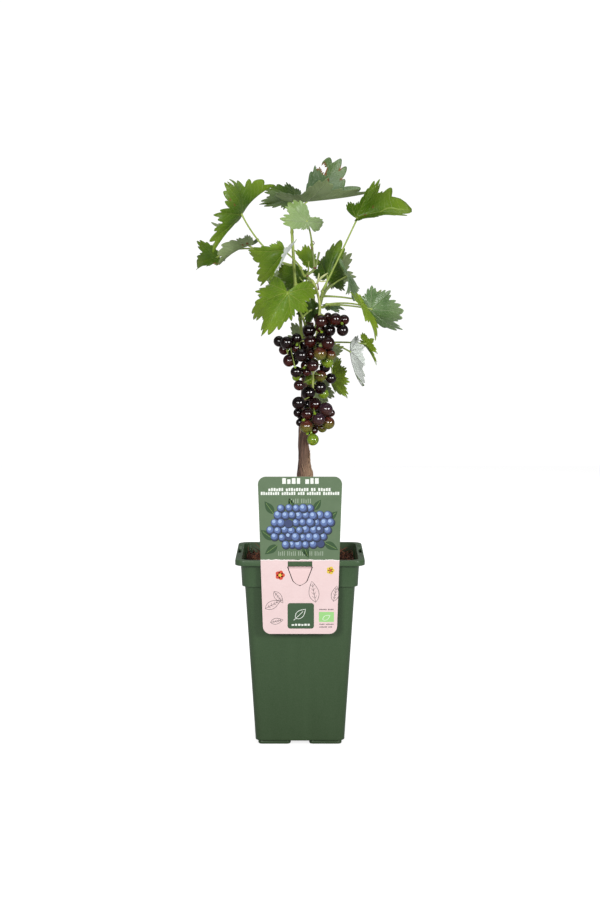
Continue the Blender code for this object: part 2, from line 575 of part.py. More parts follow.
MASSES = [
    {"name": "foliage_top", "root": tip_stem(SHOOT_LEFT), "fork": (-0.0080, 0.0060, 0.6250), "leaves": [
        leaf((0.0069, 0.0050, 0.6331), 4.9, 10.1, 97.2, 0.0690, fold=(78, 17), droop=-27,
             left=(1.15, 0.25, 0.23), right=(0.86, 0.44, 0.59), spread=(0.94, 1.01),
             curls=(0.19, -0.07, 0.17, -0.13, -0.09, 0.35, -0.17)),
        leaf((-0.0049, 0.0516, 0.6379), 190.0, 20.2, -36.9, 0.0436, fold=(58, 10), droop=23,
             left=(0.71, 0.56, 0.38), right=(0.96, 0.59, 0.45), spread=(0.86, 0.85),
             curls=(-0.58, -0.01, 0.00, 0.32, -0.25, -0.01, 0.08)),
        leaf((0.031, 0.045, 0.646), 90, -50, 180, 0.030, droop=10)]},
    {"name": "foliage_upper_left", "root": leave_limb(SHOOT_LEFT, 0.5600, (-1, 0.1, 0.1)),
     "fork": (-0.0225, 0.0040, 0.5630), "leaves": [
        leaf((-0.0675, -0.0360, 0.6177), 83.3, 51.2, -68.6, 0.0510, fold=(-16, -10), droop=55,
             left=(0.77, 1.08, 0.85), right=(0.84, 1.19, 0.54), spread=(1.09, 0.97),
             curls=(-0.25, 0.42, -0.47, 0.09, -0.24, 0.23, -0.41),
             bow=(-0.006, -0.004, -0.006)),
        leaf((-0.0587, 0.0193, 0.5824), 193.2, -13.2, -107.6, 0.0440, fold=(42, 54), droop=2,
             left=(0.42, 0.40, 0.18), right=(0.74, 0.35, 0.41), spread=(1.01, 0.80),
             curls=(-0.12, -0.08, -0.13, -0.17, 0.21, 0.09, 0.07),
             bow=(0.000, 0.004, -0.002)),
        leaf((-0.0974, 0.0357, 0.5687), 192.1, -10.6, -0.9, 0.0347, fold=(67, 14), droop=15,
             left=(0.50, 0.49, 0.32), right=(0.92, 0.27, 0.32), spread=(0.92, 0.92),
             curls=(-0.02, 0.03, -0.21, -0.27, 0.12, 0.02, -0.15),
             bow=(0.000, 0.008, 0.026))]},
    {"name": "foliage_left", "root": leave_limb(SHOOT_MIDDLE, 0.5475, (-0.80, -0.55, 0.20)),
     "fork": (0.0010, -0.0120, 0.5560), "leaves": [
        leaf((-0.0173, -0.0370, 0.5767), 234.8, 7.9, 11.8, 0.0551, fold=(115, -14), droop=66,
             left=(0.68, 0.62, 0.34), right=(0.98, 0.34, 0.27), spread=(0.90, 0.74),
             curls=(-0.10, 0.00, -0.11, 0.06, -0.08, 0.18, 0.10),
             bow=(0.001, -0.002, 0.002))]},
    {"name": "foliage_back_left", "root": leave_limb(SHOOT_MIDDLE, 0.5350, (-0.20, 1, 0.1)),
     "fork": (0.0060, 0.0260, 0.5360), "leaves": [
        leaf((0.0106, 0.0432, 0.5622), 103.6, -7.8, 8.6, 0.0223, fold=(65, 1), droop=15,
             left=(1.03, 0.49, 0.35), right=(0.62, 0.60, 0.41), spread=(0.92, 1.09),
             curls=(0.00, 0.09, 0.05, 0.10, -0.06, -0.02, 0.01)),
        leaf((0.0005, 0.0333, 0.5442), 164.2, 0.3, -10.8, 0.0340, fold=(-26, 4), droop=-42,
             left=(0.66, 0.29, 0.16), right=(0.52, 0.38, 0.27), spread=(1.06, 1.12),
             curls=(0.00, -0.02, 0.11, 0.31, -0.05, -0.05, 0.02)),
        leaf((-0.016, 0.058, 0.535), 210, -32, 155, 0.040, droop=20)]},
    {"name": "foliage_centre", "root": tip_stem(SHOOT_MIDDLE), "fork": (0.0138, -0.0030, 0.5830), "leaves": [
        leaf((0.0084, -0.0400, 0.6098), 132.8, 21.6, -6.2, 0.0349, fold=(27, 7), droop=46,
             left=(0.92, 0.38, 0.29), right=(0.24, 0.23, 0.79), spread=(0.96, 1.10),
             curls=(-0.19, 0.02, 0.04, -0.03, 0.13, 0.03, -0.02),
             bow=(0.002, -0.004, 0.000))]},
    {"name": "foliage_front", "root": leave_limb(TRUNK, 0.4890, (-0.55, -0.80, 0.15)),
     "fork": (0.0030, -0.0150, 0.4990), "leaves": [
        leaf((-0.0147, -0.0520, 0.5280), 234.3, 18.4, -12.1, 0.0597, fold=(-41, -33), droop=29,
             left=(0.53, 0.61, 0.75), right=(1.06, 0.73, 0.67), spread=(0.96, 0.74),
             curls=(-0.04, 0.03, -0.22, 0.02, 0.05, -0.01, -0.02)),
        leaf((0.015, -0.013, 0.508), 196, 5, 10, 0.020, bow=(0.0, -0.001, 0.002))]},
    {"name": "foliage_upper_right", "root": tip_stem(SHOOT_RIGHT),
     "fork": (0.0262, -0.0040, 0.5290), "leaves": [
        leaf((0.0651, -0.0300, 0.6135), 21.7, -12.7, 38.7, 0.0563, fold=(95, 47), droop=-18,
             left=(0.99, 0.38, 0.47), right=(0.50, 0.22, 0.15), spread=(0.74, 0.83),
             curls=(0.00, 0.04, -0.18, -0.45, 0.01, -0.09, 0.00),
             bow=(0.001, -0.002, 0.000))]},
    {"name": "foliage_right", "root": leave_limb(SHOOT_RIGHT, 0.5110, (0.85, -0.50, 0.05)),
     "fork": (0.0310, -0.0080, 0.5135), "leaves": [
        leaf((0.0826, -0.0200, 0.5085), 354.1, 17.1, 12.0, 0.0444, fold=(5, -55), droop=-28,
             left=(0.72, 0.60, 0.47), right=(0.93, 0.31, 0.18), spread=(1.02, 0.92),
             curls=(-0.02, -0.15, 0.06, 0.18, 0.06, -0.05, -0.03),
             bow=(0.000, 0.000, 0.003)),
        leaf((0.034, 0.014, 0.511), 355, 0, 72, 0.020, bow=(-0.002, 0.0, 0.001))]},
    {"name": "foliage_back_right", "root": leave_limb(SHOOT_RIGHT, 0.5150, (0.25, 0.95, 0.15)),
     "fork": (0.0270, 0.0160, 0.5230), "leaves": [
        leaf((0.0323, 0.0332, 0.5462), 79.8, -0.1, 33.0, 0.0464, fold=(-18, -74), droop=55,
             left=(0.69, 0.58, 0.19), right=(0.79, 0.70, 0.73), spread=(0.89, 0.83),
             curls=(-0.10, -0.11, -0.25, 0.34, -0.03, 0.15, 0.16)),
        leaf((0.0560, 0.0219, 0.5481), 298.6, 5.0, 59.9, 0.0324, fold=(-22, 28), droop=15,
             left=(1.03, 0.80, 0.73), right=(0.96, 0.44, 0.23), spread=(1.08, 1.01),
             curls=(-0.32, 0.27, -0.22, -0.04, 0.21, -0.18, 0.14)),
        leaf((0.038, 0.062, 0.548), 50, -35, 165, 0.036, droop=20),
        leaf((0.088, 0.044, 0.513), 352, -35, 200, 0.028, droop=10)]},
    {"name": "foliage_lower_right", "root": leave_limb(TRUNK, 0.4620, (0.60, 0.80, 0.10)),
     "fork": (0.0330, 0.0140, 0.4680), "leaves": [
        leaf((0.0596, -0.0050, 0.4593), 271.3, 7.9, 145.7, 0.0449, fold=(94, -4), droop=-17,
             left=(0.78, 0.58, 0.47), right=(0.59, 0.45, 0.42), spread=(0.91, 1.04),
             curls=(0.07, 0.07, -0.02, 0.47, 0.13, -0.04, 0.24),
             bow=(0.000, 0.000, 0.002)),
        leaf((0.0777, 0.0122, 0.4675), 317.4, 34.0, -4.4, 0.0184, fold=(12, -70), droop=-36,
             left=(0.75, 0.38, 0.75), right=(1.35, 0.69, 0.59), spread=(1.05, 1.02),
             curls=(0.07, -0.20, 0.20, -0.26, 0.21, -0.04, 0.02),
             bow=(0.000, 0.002, 0.002)),
        leaf((0.0381, 0.0240, 0.4269), 300.8, 23.8, -13.7, 0.0314, fold=(17, -61), droop=2,
             left=(0.80, 0.82, 0.78), right=(0.65, 0.32, 0.31), spread=(0.84, 0.94),
             curls=(0.06, -0.11, 0.06, -0.17, 0.02, 0.19, -0.17))]},
    {"name": "foliage_back", "root": leave_limb(TRUNK, 0.4300, (-0.10, 1, 0.15)),
     "fork": (0.0080, 0.0300, 0.4400), "leaves": sprout(
        Vector((0.0080, 0.0300, 0.4400)), ((-0.020, 0.026, 0.375), (0.052, 0.098, 0.502)), 3, 32)},
]


def build_mass(mass, first_number, group, finish):
    """One stem, a stalk for each leaf and the blades, fused into one solid."""
    start, collar = mass["root"]
    fork = Vector(mass["fork"])
    stem = tube(mass["name"], [start, collar, fork], [STEM_RADIUS, STEM_RADIUS, STALK_RADIUS * 1.15],
                group, finish, 6)
    bm = bmesh.new()
    bmesh.ops.create_icosphere(bm, subdivisions=1, radius=KNOT_RADIUS)
    bmesh.ops.translate(bm, vec=fork, verts=bm.verts)
    parts = [add_object("knot", mesh_of(bm, "knot"), group, finish)]
    for step, one in enumerate(mass["leaves"]):
        route = stalk_route(fork, one)
        radii = [STALK_RADIUS] * (len(route) - 1) + [STALK_RADIUS * 0.8]
        parts.append(tube("stalk", route, radii, group, finish, 4))
        parts.append(build_blade(one, first_number + step, group, finish))
    return fuse(stem, parts, mass["name"], "MANIFOLD")


# The bunch

PEDUNCLE_FOOT, PEDUNCLE_COLLAR = leave_limb(SHOOT_MIDDLE, 0.5405, (0.55, -0.80, 0.15))
RACHIS = [PEDUNCLE_FOOT, PEDUNCLE_COLLAR, (0.0200, -0.0140, 0.5284), (0.0233, -0.0210, 0.5117),
          (0.0221, -0.0260, 0.5009), (0.0197, -0.0290, 0.4825), (0.0157, -0.0290, 0.4501),
          (0.0151, -0.0280, 0.4092), (0.0152, -0.0270, 0.3600)]
SHOULDER_LEFT = [(0.0180, -0.0290, 0.4700), (0.0020, -0.0320, 0.4720), (-0.0190, -0.0330, 0.4660)]
SHOULDER_RIGHT = [(0.0221, -0.0260, 0.5020), (0.0340, -0.0280, 0.5000), (0.0460, -0.0290, 0.4940)]
BUNCH_BACK = -0.0110          # no berry's middle lies further back than this
BUNCH_FRONT = -0.0630         # nor further forward than this
BUNCH_HALF_WIDTHS = (0.026, 0.042)
BUNCH_DEPTH = 0.0190          # from the rachis to the middles of the front berries
SLIDE_STRIDE = 0.0005
SLIDE_STEPS = 110
GAP_TRIALS = 500
BACK_TRIALS = 300
MOST_BERRIES = 72
BERRY_PLUMP = 1.05            # makes up for the flats of a ball with few faces
BERRY_SPACING = 1.06

# Berries that show from the front, by their width, height and radius in millimetres
FRONT_BERRIES = [
    (32.5, 499, 5.1), (25, 495, 6.3), (51.5, 494.5, 5.8), (41, 497.5, 6.7), (49.5, 484, 6.6),
    (34.5, 484, 6.6), (-24, 471, 6.5), (-16, 469.5, 7.2), (-17, 459.5, 6.0), (-12.5, 448, 6.8),
    (-3.5, 475, 5.4), (10.5, 483, 7.4), (12.5, 470, 6.8), (32.5, 469.5, 6.9), (25.5, 476.5, 5.8),
    (1.5, 456, 7.2), (23.5, 457.5, 6.4), (36, 456, 5.7), (32.5, 449, 6.2), (23.5, 429.5, 7.1),
    (11.5, 425, 6.0), (36, 427, 5.9), (-4.5, 436.5, 5.7), (-0.5, 420.5, 5.8), (23.5, 416, 7.1),
    (9.5, 410, 7.2), (28, 410.5, 5.8), (-1, 400, 6.7), (17, 397, 6.7), (30.5, 393, 7.4),
    (36, 388, 5.8), (-2.5, 389, 5.8), (8, 387.5, 6.4), (21, 381, 7.1), (32, 376.5, 6.7),
    (2, 376.5, 5.8), (7.5, 373.5, 6.6), (25, 371, 5.8), (16.5, 367, 4.0), (14.5, 357.5, 6.4),
    (-4, 463, 4.7), (-7, 455.5, 5.4), (13.5, 457, 5.6), (14.5, 445, 6.0), (27.5, 441.5, 5.6),
    (7.5, 437.5, 5.2), (-4, 429, 5.4)]


def nearest_on(route, place):
    """Closest point of a row of points to a place."""
    best = None
    for low, high in zip(route, route[1:]):
        start, run = Vector(low), Vector(high) - Vector(low)
        t = min(1, max(0, (place - start).dot(run) / run.length_squared))
        spot = start + run * t
        if best is None or (place - spot).length < (place - best).length:
            best = spot
    return best


def front_of_bunch(x, z):
    """Depth of the middles of the front berries: level sections of the bunch are half ellipses."""
    axis = nearest_on(RACHIS, Vector((x, RACHIS[-1][1], z)))
    height = (z - RACHIS[-1][2]) / (RACHIS[2][2] - RACHIS[-1][2])
    aside = min(1, abs(x - axis.x) / between(*BUNCH_HALF_WIDTHS, height))
    return axis.y - BUNCH_DEPTH * sqrt(1 - aside ** 2)


def settled(place, heading, radius, berries, deepest):
    """Slide a berry along Y until it touches another one or has gone as deep as it may."""
    last = None
    for step in range(SLIDE_STEPS):
        trial = place + Vector((0, heading * SLIDE_STRIDE * step, 0))
        if any((trial - other).length < (radius + size) * BERRY_SPACING for other, size in berries):
            break
        last = trial
        if (trial.y - deepest) * heading >= 0:
            break
    return last


def grow_berries():
    """Front berries where they show, then seeded ones in the gaps between them and behind them."""
    berries = []
    for across, height, size in FRONT_BERRIES:
        x, z, radius = across / 1000, height / 1000, size / 1000
        start = Vector((x, BUNCH_FRONT, z))
        berries.append((settled(start, 1, radius, berries, front_of_bunch(x, z)) or start, radius))
    chance = random.Random(3)
    front = list(berries)
    for attempt in range(GAP_TRIALS):
        model, size = front[attempt % len(front)]
        swing = radians(chance.uniform(0, 360))
        radius = chance.uniform(0.0054, 0.0066)
        beside = model + Vector((cos(swing), 0, sin(swing))) * (size + radius) * chance.uniform(0.7, 1.0)
        spacings = [(hypot(beside.x - other.x, beside.z - other.z), girth) for other, girth in berries]
        shows = all(spacing > (radius + girth) * 0.60 for spacing, girth in spacings)
        amid = sum(spacing < 0.018 for spacing, girth in spacings) > 3
        place = settled(Vector((beside.x, BUNCH_FRONT, beside.z)), 1, radius, berries,
                        front_of_bunch(beside.x, beside.z) + radius)
        if shows and amid and place is not None and place.y > model.y - 0.001:
            berries.append((place, radius))
    for attempt in range(BACK_TRIALS):
        model, size = front[attempt % len(front)]
        radius = chance.uniform(0.0054, 0.0066)
        axis = nearest_on(RACHIS, model)
        start = Vector((between(axis.x, model.x, chance.uniform(0, 0.9)), BUNCH_BACK,
                        model.z + chance.uniform(-0.004, 0.006)))
        place = settled(start, -1, radius, berries, RACHIS[-1][1])
        if place is not None and len(berries) < MOST_BERRIES:
            berries.append((place, radius))
    return berries


def build_bunch(group):
    dark = make_material("grape_dark", (0.012, 0.004, 0.006), 0.18)
    rachis = tube("grape_bunch", RACHIS, [between(0.0018, 0.0010, i / (len(RACHIS) - 1))
                                          for i in range(len(RACHIS))], group, dark, 6)
    parts = [tube("branch", branch, (0.0012, 0.0011, 0.0009), group, dark, 4)
             for branch in (SHOULDER_LEFT, SHOULDER_RIGHT)]
    for place, radius in grow_berries():
        hold = min((nearest_on(route, place + Vector((0, 0, 0.006)))
                    for route in (RACHIS[3:], SHOULDER_LEFT, SHOULDER_RIGHT)),
                   key=lambda spot: (spot - place).length)
        bm = bmesh.new()
        bmesh.ops.create_uvsphere(bm, u_segments=6, v_segments=4, radius=radius * BERRY_PLUMP)
        bmesh.ops.translate(bm, vec=place, verts=bm.verts)
        parts.append(add_object("berry", mesh_of(bm, "berry"), group, dark))
        inward = place + (hold - place).normalized() * radius * 0.6
        parts.append(tube("pedicel", (hold, inward), (0.0008, 0.0008), group, dark, 4))
    return fuse(rachis, parts, "grape_bunch", "MANIFOLD")


def build():
    clear_scene()
    grapevine = make_collection("grapevine")
    cutters = make_collection("cutters")
    build_pot(grapevine, cutters)
    build_soil(grapevine)
    build_label(grapevine, cutters)
    bark = make_material("bark_brown", (0.08, 0.052, 0.036), 0.85)
    stem_green = make_material("shoot_green", VINE_GREEN, 0.45)
    build_limb("trunk", TRUNK, grapevine, bark, 8)
    build_limb("shoot_left", SHOOT_LEFT, grapevine, stem_green, 6)
    build_limb("shoot_middle", SHOOT_MIDDLE, grapevine, stem_green, 6)
    build_limb("shoot_right", SHOOT_RIGHT, grapevine, stem_green, 6)
    leaf_green = make_material("leaf_green", LEAF_GREEN, 0.40)
    number = 1
    for mass in MASSES:
        build_mass(mass, number, grapevine, leaf_green)
        number += len(mass["leaves"])
    build_bunch(grapevine)
    bpy.data.collections.remove(cutters)


build()
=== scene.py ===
"""A young grapevine with one bunch of dark grapes, in a tall square nursery pot with a hang-on label.

Metres, +Z up, with the front towards -Y. The file follows the plant as it is potted up: the pot, the
potting mix, the label, the trunk, the green shoots, the leaves and the bunch, and then the studio.
"""
import random
from math import atan2, cos, degrees, exp, hypot, pi, radians, sin, sqrt

import bmesh
import bpy
from mathutils import Matrix, Vector, noise


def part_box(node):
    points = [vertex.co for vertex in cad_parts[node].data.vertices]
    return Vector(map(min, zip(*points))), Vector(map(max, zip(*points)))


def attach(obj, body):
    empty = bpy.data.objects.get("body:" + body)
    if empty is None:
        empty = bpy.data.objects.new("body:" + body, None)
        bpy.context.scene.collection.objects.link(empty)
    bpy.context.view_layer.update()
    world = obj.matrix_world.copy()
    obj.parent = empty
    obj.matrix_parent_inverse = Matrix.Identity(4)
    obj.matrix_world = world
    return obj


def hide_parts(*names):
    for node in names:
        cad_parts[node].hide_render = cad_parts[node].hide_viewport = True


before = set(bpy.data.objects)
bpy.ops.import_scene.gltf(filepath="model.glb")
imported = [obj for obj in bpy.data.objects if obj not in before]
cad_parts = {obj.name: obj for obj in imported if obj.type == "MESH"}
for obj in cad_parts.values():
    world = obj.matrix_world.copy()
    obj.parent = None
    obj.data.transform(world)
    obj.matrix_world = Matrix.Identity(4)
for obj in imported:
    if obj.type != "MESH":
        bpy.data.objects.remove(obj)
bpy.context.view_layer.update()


# The pot is one injection moulding in dark green polypropylene: a tapering square shell with a straight
# collar, a flat flange turned down into a lip, and four feet. Four slots in the flange, with a thin rib
# under each end, take hang-on labels, and the satin skin is dusty from the nursery.

POT_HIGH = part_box("pot")[1]
RIM_HALF = POT_HIGH.x
RIM_TOP = POT_HIGH.z
COLLAR_TOP_HALF = RIM_HALF * 0.92
COLLAR_FOOT_HALF = RIM_HALF * 0.896
BODY_TOP_HALF = RIM_HALF * 0.851
BODY_FOOT_HALF = RIM_HALF * 0.697
FEET_HALF = RIM_HALF * 0.653
COLLAR_FOOT = 0.19
LIP_FOOT = 0.215
PLATE_FOOT = RIM_TOP - 0.0018
FOOT_HEIGHT = 0.0046
CHANNEL_HALF = 0.0108
FLOOR_TOP = FOOT_HEIGHT + 0.002
POT_WALL = 0.0015
CORNER_SHARE = 0.165
CORNER_STEPS = 9
SLOT_HALF = 0.0135
SLOT_ROUNDING = 0.0012
RIB_DEPTH = 0.005
RIB_THICKNESS = 0.001
DRAIN_HOLE = 0.0045
DRAIN_PITCH = 0.028
EDGE = 0.0008


def seen(red, green, blue):
    """A colour as the eye reads it, 0 to 255, turned into the light that a shader works in."""
    shares = [value / 255 for value in (red, green, blue)]
    return tuple(s / 12.92 if s < 0.04045 else ((s + 0.055) / 1.055) ** 2.4 for s in shares)


def between(low, high, share):
    return low + (high - low) * share


def add_node(tree, kind, inputs=None, **settings):
    """Add a shader node, with its inputs set to values or fed by other nodes' sockets."""
    node = tree.nodes.new("ShaderNode" + kind)
    for name, value in settings.items():
        setattr(node, name, value)
    for name, value in (inputs or {}).items():
        if isinstance(value, bpy.types.NodeSocket):
            tree.links.new(value, node.inputs[name])
        else:
            node.inputs[name].default_value = value
    return node


def maths(tree, operation, *values, clamp=False):
    return add_node(tree, "Math", dict(enumerate(values)), operation=operation, use_clamp=clamp).outputs[0]


def ramp(tree, value, low, high, kind="LINEAR", ends=(0.0, 1.0)):
    """A value's way from low to high, as a share from one end to the other."""
    inputs = {"Value": value, "From Min": low, "From Max": high, "To Min": ends[0], "To Max": ends[1]}
    return add_node(tree, "MapRange", inputs, interpolation_type=kind).outputs["Result"]


def object_axes(tree):
    """Places on the plant, along X, Y and Z."""
    place = add_node(tree, "TexCoord").outputs["Object"]
    return add_node(tree, "SeparateXYZ", {0: place}).outputs


def start_material(name, colour, roughness):
    """A plain material, with its node tree and its shader."""
    finish = bpy.data.materials.new(name)
    finish.use_nodes = True
    tree = finish.node_tree
    shader = tree.nodes["Principled BSDF"]
    shader.inputs["Base Color"].default_value = (*seen(*colour), 1.0)
    shader.inputs["Roughness"].default_value = roughness
    return finish, tree, shader


def start_group(name, inputs, outputs):
    """An empty shader node group with named inputs and outputs."""
    group = bpy.data.node_groups.new(name, "ShaderNodeTree")
    for label, kind in inputs:
        group.interface.new_socket(label, in_out="INPUT", socket_type="NodeSocket" + kind)
    for label in outputs:
        group.interface.new_socket(label, in_out="OUTPUT", socket_type="NodeSocketFloat")
    return group, group.nodes.new("NodeGroupInput").outputs, group.nodes.new("NodeGroupOutput").inputs


def mottle_group():
    """Cloudy and fine grain: a mask from 0 to 1 for colour, and a height for relief."""
    inputs = (("Place", "Vector"), ("Size", "Float"), ("Contrast", "Float"))
    group, given, shown = start_group("mottled_grain", inputs, ("Mask", "Relief"))
    cloud = add_node(group, "TexNoise", {"Detail": 5.0, "Vector": given["Place"], "Scale": given["Size"]})
    centred = maths(group, "SUBTRACT", cloud.outputs["Fac"], 0.5)
    group.links.new(maths(group, "MULTIPLY_ADD", centred, given["Contrast"], 0.5, clamp=True), shown["Mask"])
    group.links.new(cloud.outputs["Fac"], shown["Relief"])
    return group


MOTTLE = mottle_group()


def mottle(tree, size, contrast, stretch=(1, 1, 1)):
    """Place the grain in a material, read from object space and stretched along its axes."""
    place = add_node(tree, "TexCoord").outputs["Object"]
    turned = add_node(tree, "Mapping", {"Scale": stretch, "Vector": place}).outputs["Vector"]
    inputs = {"Place": turned, "Size": size, "Contrast": contrast}
    grain = add_node(tree, "Group", inputs, node_tree=MOTTLE).outputs
    return grain["Mask"], grain["Relief"]


def blend_colours(tree, mask, share, first, second):
    """Mix two colours, or colour sockets, by a share of a mask socket."""
    mix = add_node(tree, "Mix", data_type="RGBA")
    for socket, colour in zip((one for one in mix.inputs if one.type == "RGBA"), (first, second)):
        if isinstance(colour, bpy.types.NodeSocket):
            tree.links.new(colour, socket)
        else:
            socket.default_value = (*seen(*colour), 1.0)
    tree.links.new(mask if share == 1 else maths(tree, "MULTIPLY", mask, share), mix.inputs["Factor"])
    return next(socket for socket in mix.outputs if socket.type == "RGBA")


def surface(tree, shader, colour, height, strength, distance):
    """Give a material its colour and its fine relief."""
    tree.links.new(colour, shader.inputs["Base Color"])
    bump = add_node(tree, "Bump", {"Strength": strength, "Distance": distance, "Height": height})
    tree.links.new(bump.outputs["Normal"], shader.inputs["Normal"])


def loose_object(name, bm):
    mesh = bpy.data.meshes.new(name)
    bm.to_mesh(mesh)
    bm.free()
    thing = bpy.data.objects.new(name, mesh)
    bpy.context.scene.collection.objects.link(thing)
    return thing


def add_piece(name, bm, finishes, stands_for, smooth=True, turn_out=True):
    """Turn a bmesh into a piece that rides on the plant and stands for one CAD node."""
    if turn_out:
        bmesh.ops.recalc_face_normals(bm, faces=bm.faces)
    piece = loose_object(name, bm)
    for finish in finishes:
        piece.data.materials.append(finish)
    piece.data.polygons.foreach_set("use_smooth", [smooth] * len(piece.data.polygons))
    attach(piece, "root")
    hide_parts(stands_for)
    return piece


def corner_arc(x, y, quarter, radius, steps):
    """Points round a corner in one quarter of a turn."""
    turns = [(quarter + step / steps) * pi / 2 for step in range(steps + 1)]
    return [(x + radius * cos(turn), y + radius * sin(turn)) for turn in turns]


def square_ring(half_width, height):
    """Points of a level square with rounded corners."""
    radius = half_width * CORNER_SHARE
    inner = half_width - radius
    ring = []
    for quarter, (side_x, side_y) in enumerate(((1, 1), (-1, 1), (-1, -1), (1, -1))):
        ring += corner_arc(side_x * inner, side_y * inner, quarter, radius, CORNER_STEPS)
    return [Vector((x, y, height)) for x, y in ring]


def turn_square(bm, profile):
    """Carry a rounded square from one level of a profile to the next, and cap both ends."""
    ring = [bm.verts.new(place) for place in square_ring(*profile[0])]
    bm.faces.new(ring)
    edges = [bm.edges.get((ring[i], ring[i - 1])) for i in range(len(ring))]
    for half_width, height in profile[1:]:
        grown = bmesh.ops.extrude_edge_only(bm, edges=edges)["geom"]
        verts = [part for part in grown if isinstance(part, bmesh.types.BMVert)]
        edges = [part for part in grown if isinstance(part, bmesh.types.BMEdge)]
        places = square_ring(half_width, height)
        for vert in verts:
            turn = atan2(vert.co.y, vert.co.x)
            vert.co = min(places, key=lambda place: abs(atan2(place.y, place.x) - turn))
    bmesh.ops.contextual_create(bm, geom=edges)


def rounded(centre, radius, first, last, steps=4):
    """Points of a small arc in a profile, between two angles in degrees."""
    half_width, height = centre
    return [(half_width + radius * cos(radians(between(first, last, i / steps))),
             height + radius * sin(radians(between(first, last, i / steps)))) for i in range(steps + 1)]


def pot_profile():
    """The shell's half width and height, up the outside, over the rim and down the inside."""
    inner_top = COLLAR_TOP_HALF - POT_WALL
    lip = POT_WALL / 2
    run = [(FEET_HALF - 0.004, FOOT_HEIGHT)]
    run += rounded((BODY_FOOT_HALF - 0.0016, FOOT_HEIGHT + 0.0016), 0.0016, -90, -10)
    run += [(between(BODY_FOOT_HALF, BODY_TOP_HALF, share),
             between(FOOT_HEIGHT + 0.003, COLLAR_FOOT - 0.002, share)) for share in (0, 0.25, 0.5, 0.75, 1)]
    run += [(BODY_TOP_HALF + 0.0004, COLLAR_FOOT - 0.0008)]
    run += rounded((COLLAR_FOOT_HALF - 0.0009, COLLAR_FOOT + 0.0003), 0.0009, -80, 0)
    run += [(COLLAR_TOP_HALF - 0.0002, PLATE_FOOT - 0.0006), (COLLAR_TOP_HALF + 0.0004, PLATE_FOOT),
            (RIM_HALF - POT_WALL - 0.0004, PLATE_FOOT), (RIM_HALF - POT_WALL, PLATE_FOOT - 0.0004)]
    run += rounded((RIM_HALF - lip, LIP_FOOT + lip), lip, 180, 360)
    run += rounded((RIM_HALF - EDGE * 1.6, RIM_TOP - EDGE * 1.6), EDGE * 1.6, 0, 90)
    run += rounded((inner_top + EDGE, RIM_TOP - EDGE), EDGE, 90, 180)
    return run + [(COLLAR_FOOT_HALF - POT_WALL, COLLAR_FOOT + 0.001),
                  (BODY_TOP_HALF - POT_WALL, COLLAR_FOOT - 0.0012),
                  (BODY_FOOT_HALF - POT_WALL, FLOOR_TOP + 0.002), (BODY_FOOT_HALF - 0.004, FLOOR_TOP)]


def carve(thing, cutters):
    """Cut solids out of a mesh object for good."""
    for cutter in cutters:
        saw = thing.modifiers.new("Cut", "BOOLEAN")
        saw.operation = "DIFFERENCE"
        saw.solver = "EXACT"
        saw.object = cutter
    bpy.context.view_layer.update()
    carved = thing.evaluated_get(bpy.context.evaluated_depsgraph_get())
    mesh = bpy.data.meshes.new_from_object(carved)
    thing.modifiers.clear()
    thing.data = mesh
    for cutter in cutters:
        bpy.data.objects.remove(cutter, do_unlink=True)


def add_block(bm, size, place, quarter=0):
    """A box of a given size at a place, turned by quarters about the pot's axis."""
    verts = bmesh.ops.create_cube(bm, size=1.0)["verts"]
    bmesh.ops.scale(bm, vec=size, verts=verts)
    bmesh.ops.translate(bm, vec=place, verts=verts)
    bmesh.ops.rotate(bm, cent=(0, 0, 0), matrix=Matrix.Rotation(quarter * pi / 2, 3, "Z"), verts=verts)


def round_edges(bm, edges, offset, segments):
    bmesh.ops.bevel(bm, geom=edges, offset=offset, segments=segments, affect="EDGES", profile=0.5,
                    material=-1)


def round_uprights(bm, offset, segments):
    upright = [edge for edge in bm.edges if abs(edge.verts[0].co.z - edge.verts[1].co.z) > 0.001]
    round_edges(bm, upright, offset, segments)


def pot_cutters():
    """Solids to cut out of the shell: four label slots and five drain holes."""
    near, far = COLLAR_TOP_HALF + 0.0006, RIM_HALF - POT_WALL - 0.0004
    cutters = []
    for quarter in range(4):
        bm = bmesh.new()
        add_block(bm, (SLOT_HALF * 2, far - near, 0.006), (0, -(near + far) / 2, RIM_TOP), quarter)
        round_uprights(bm, SLOT_ROUNDING, 3)
        cutters.append(loose_object("slot_cutter", bm))
    for side_x, side_y in ((0, 0), (1, 0), (0, 1), (-1, 0), (0, -1)):
        bm = bmesh.new()
        bmesh.ops.create_cone(bm, cap_ends=True, segments=24, depth=0.01, radius1=DRAIN_HOLE,
                              radius2=DRAIN_HOLE)
        bmesh.ops.translate(bm, vec=(side_x * DRAIN_PITCH, side_y * DRAIN_PITCH, FLOOR_TOP), verts=bm.verts)
        cutters.append(loose_object("drain_cutter", bm))
    return cutters


def pot_finish():
    """Satin green plastic: darker towards the feet as painted shade, with faint upright streaks and dried
    dust.
    """
    finish, tree, shader = start_material("pot_green_plastic", (60, 84, 56), 0.36)
    # Painted shade: the green darkens from the rim down to the feet.
    rise = ramp(tree, object_axes(tree)["Z"], 0.0, RIM_TOP)
    body = blend_colours(tree, rise, 1, (40, 62, 30), (56, 82, 50))
    streaks, relief = mottle(tree, 70.0, 1.2, (1, 1, 0.1))
    streaked = blend_colours(tree, streaks, 0.22, body, (76, 100, 68))
    dust, grain = mottle(tree, 900.0, 9.0)
    surface(tree, shader, blend_colours(tree, dust, 0.03, streaked, (150, 160, 140)), grain, 0.03, 0.0002)
    return finish


pot_bm = bmesh.new()
turn_square(pot_bm, pot_profile())
green_plastic = pot_finish()
pot_shell = add_piece("pot_shell", pot_bm, [green_plastic], "pot")
carve(pot_shell, pot_cutters())

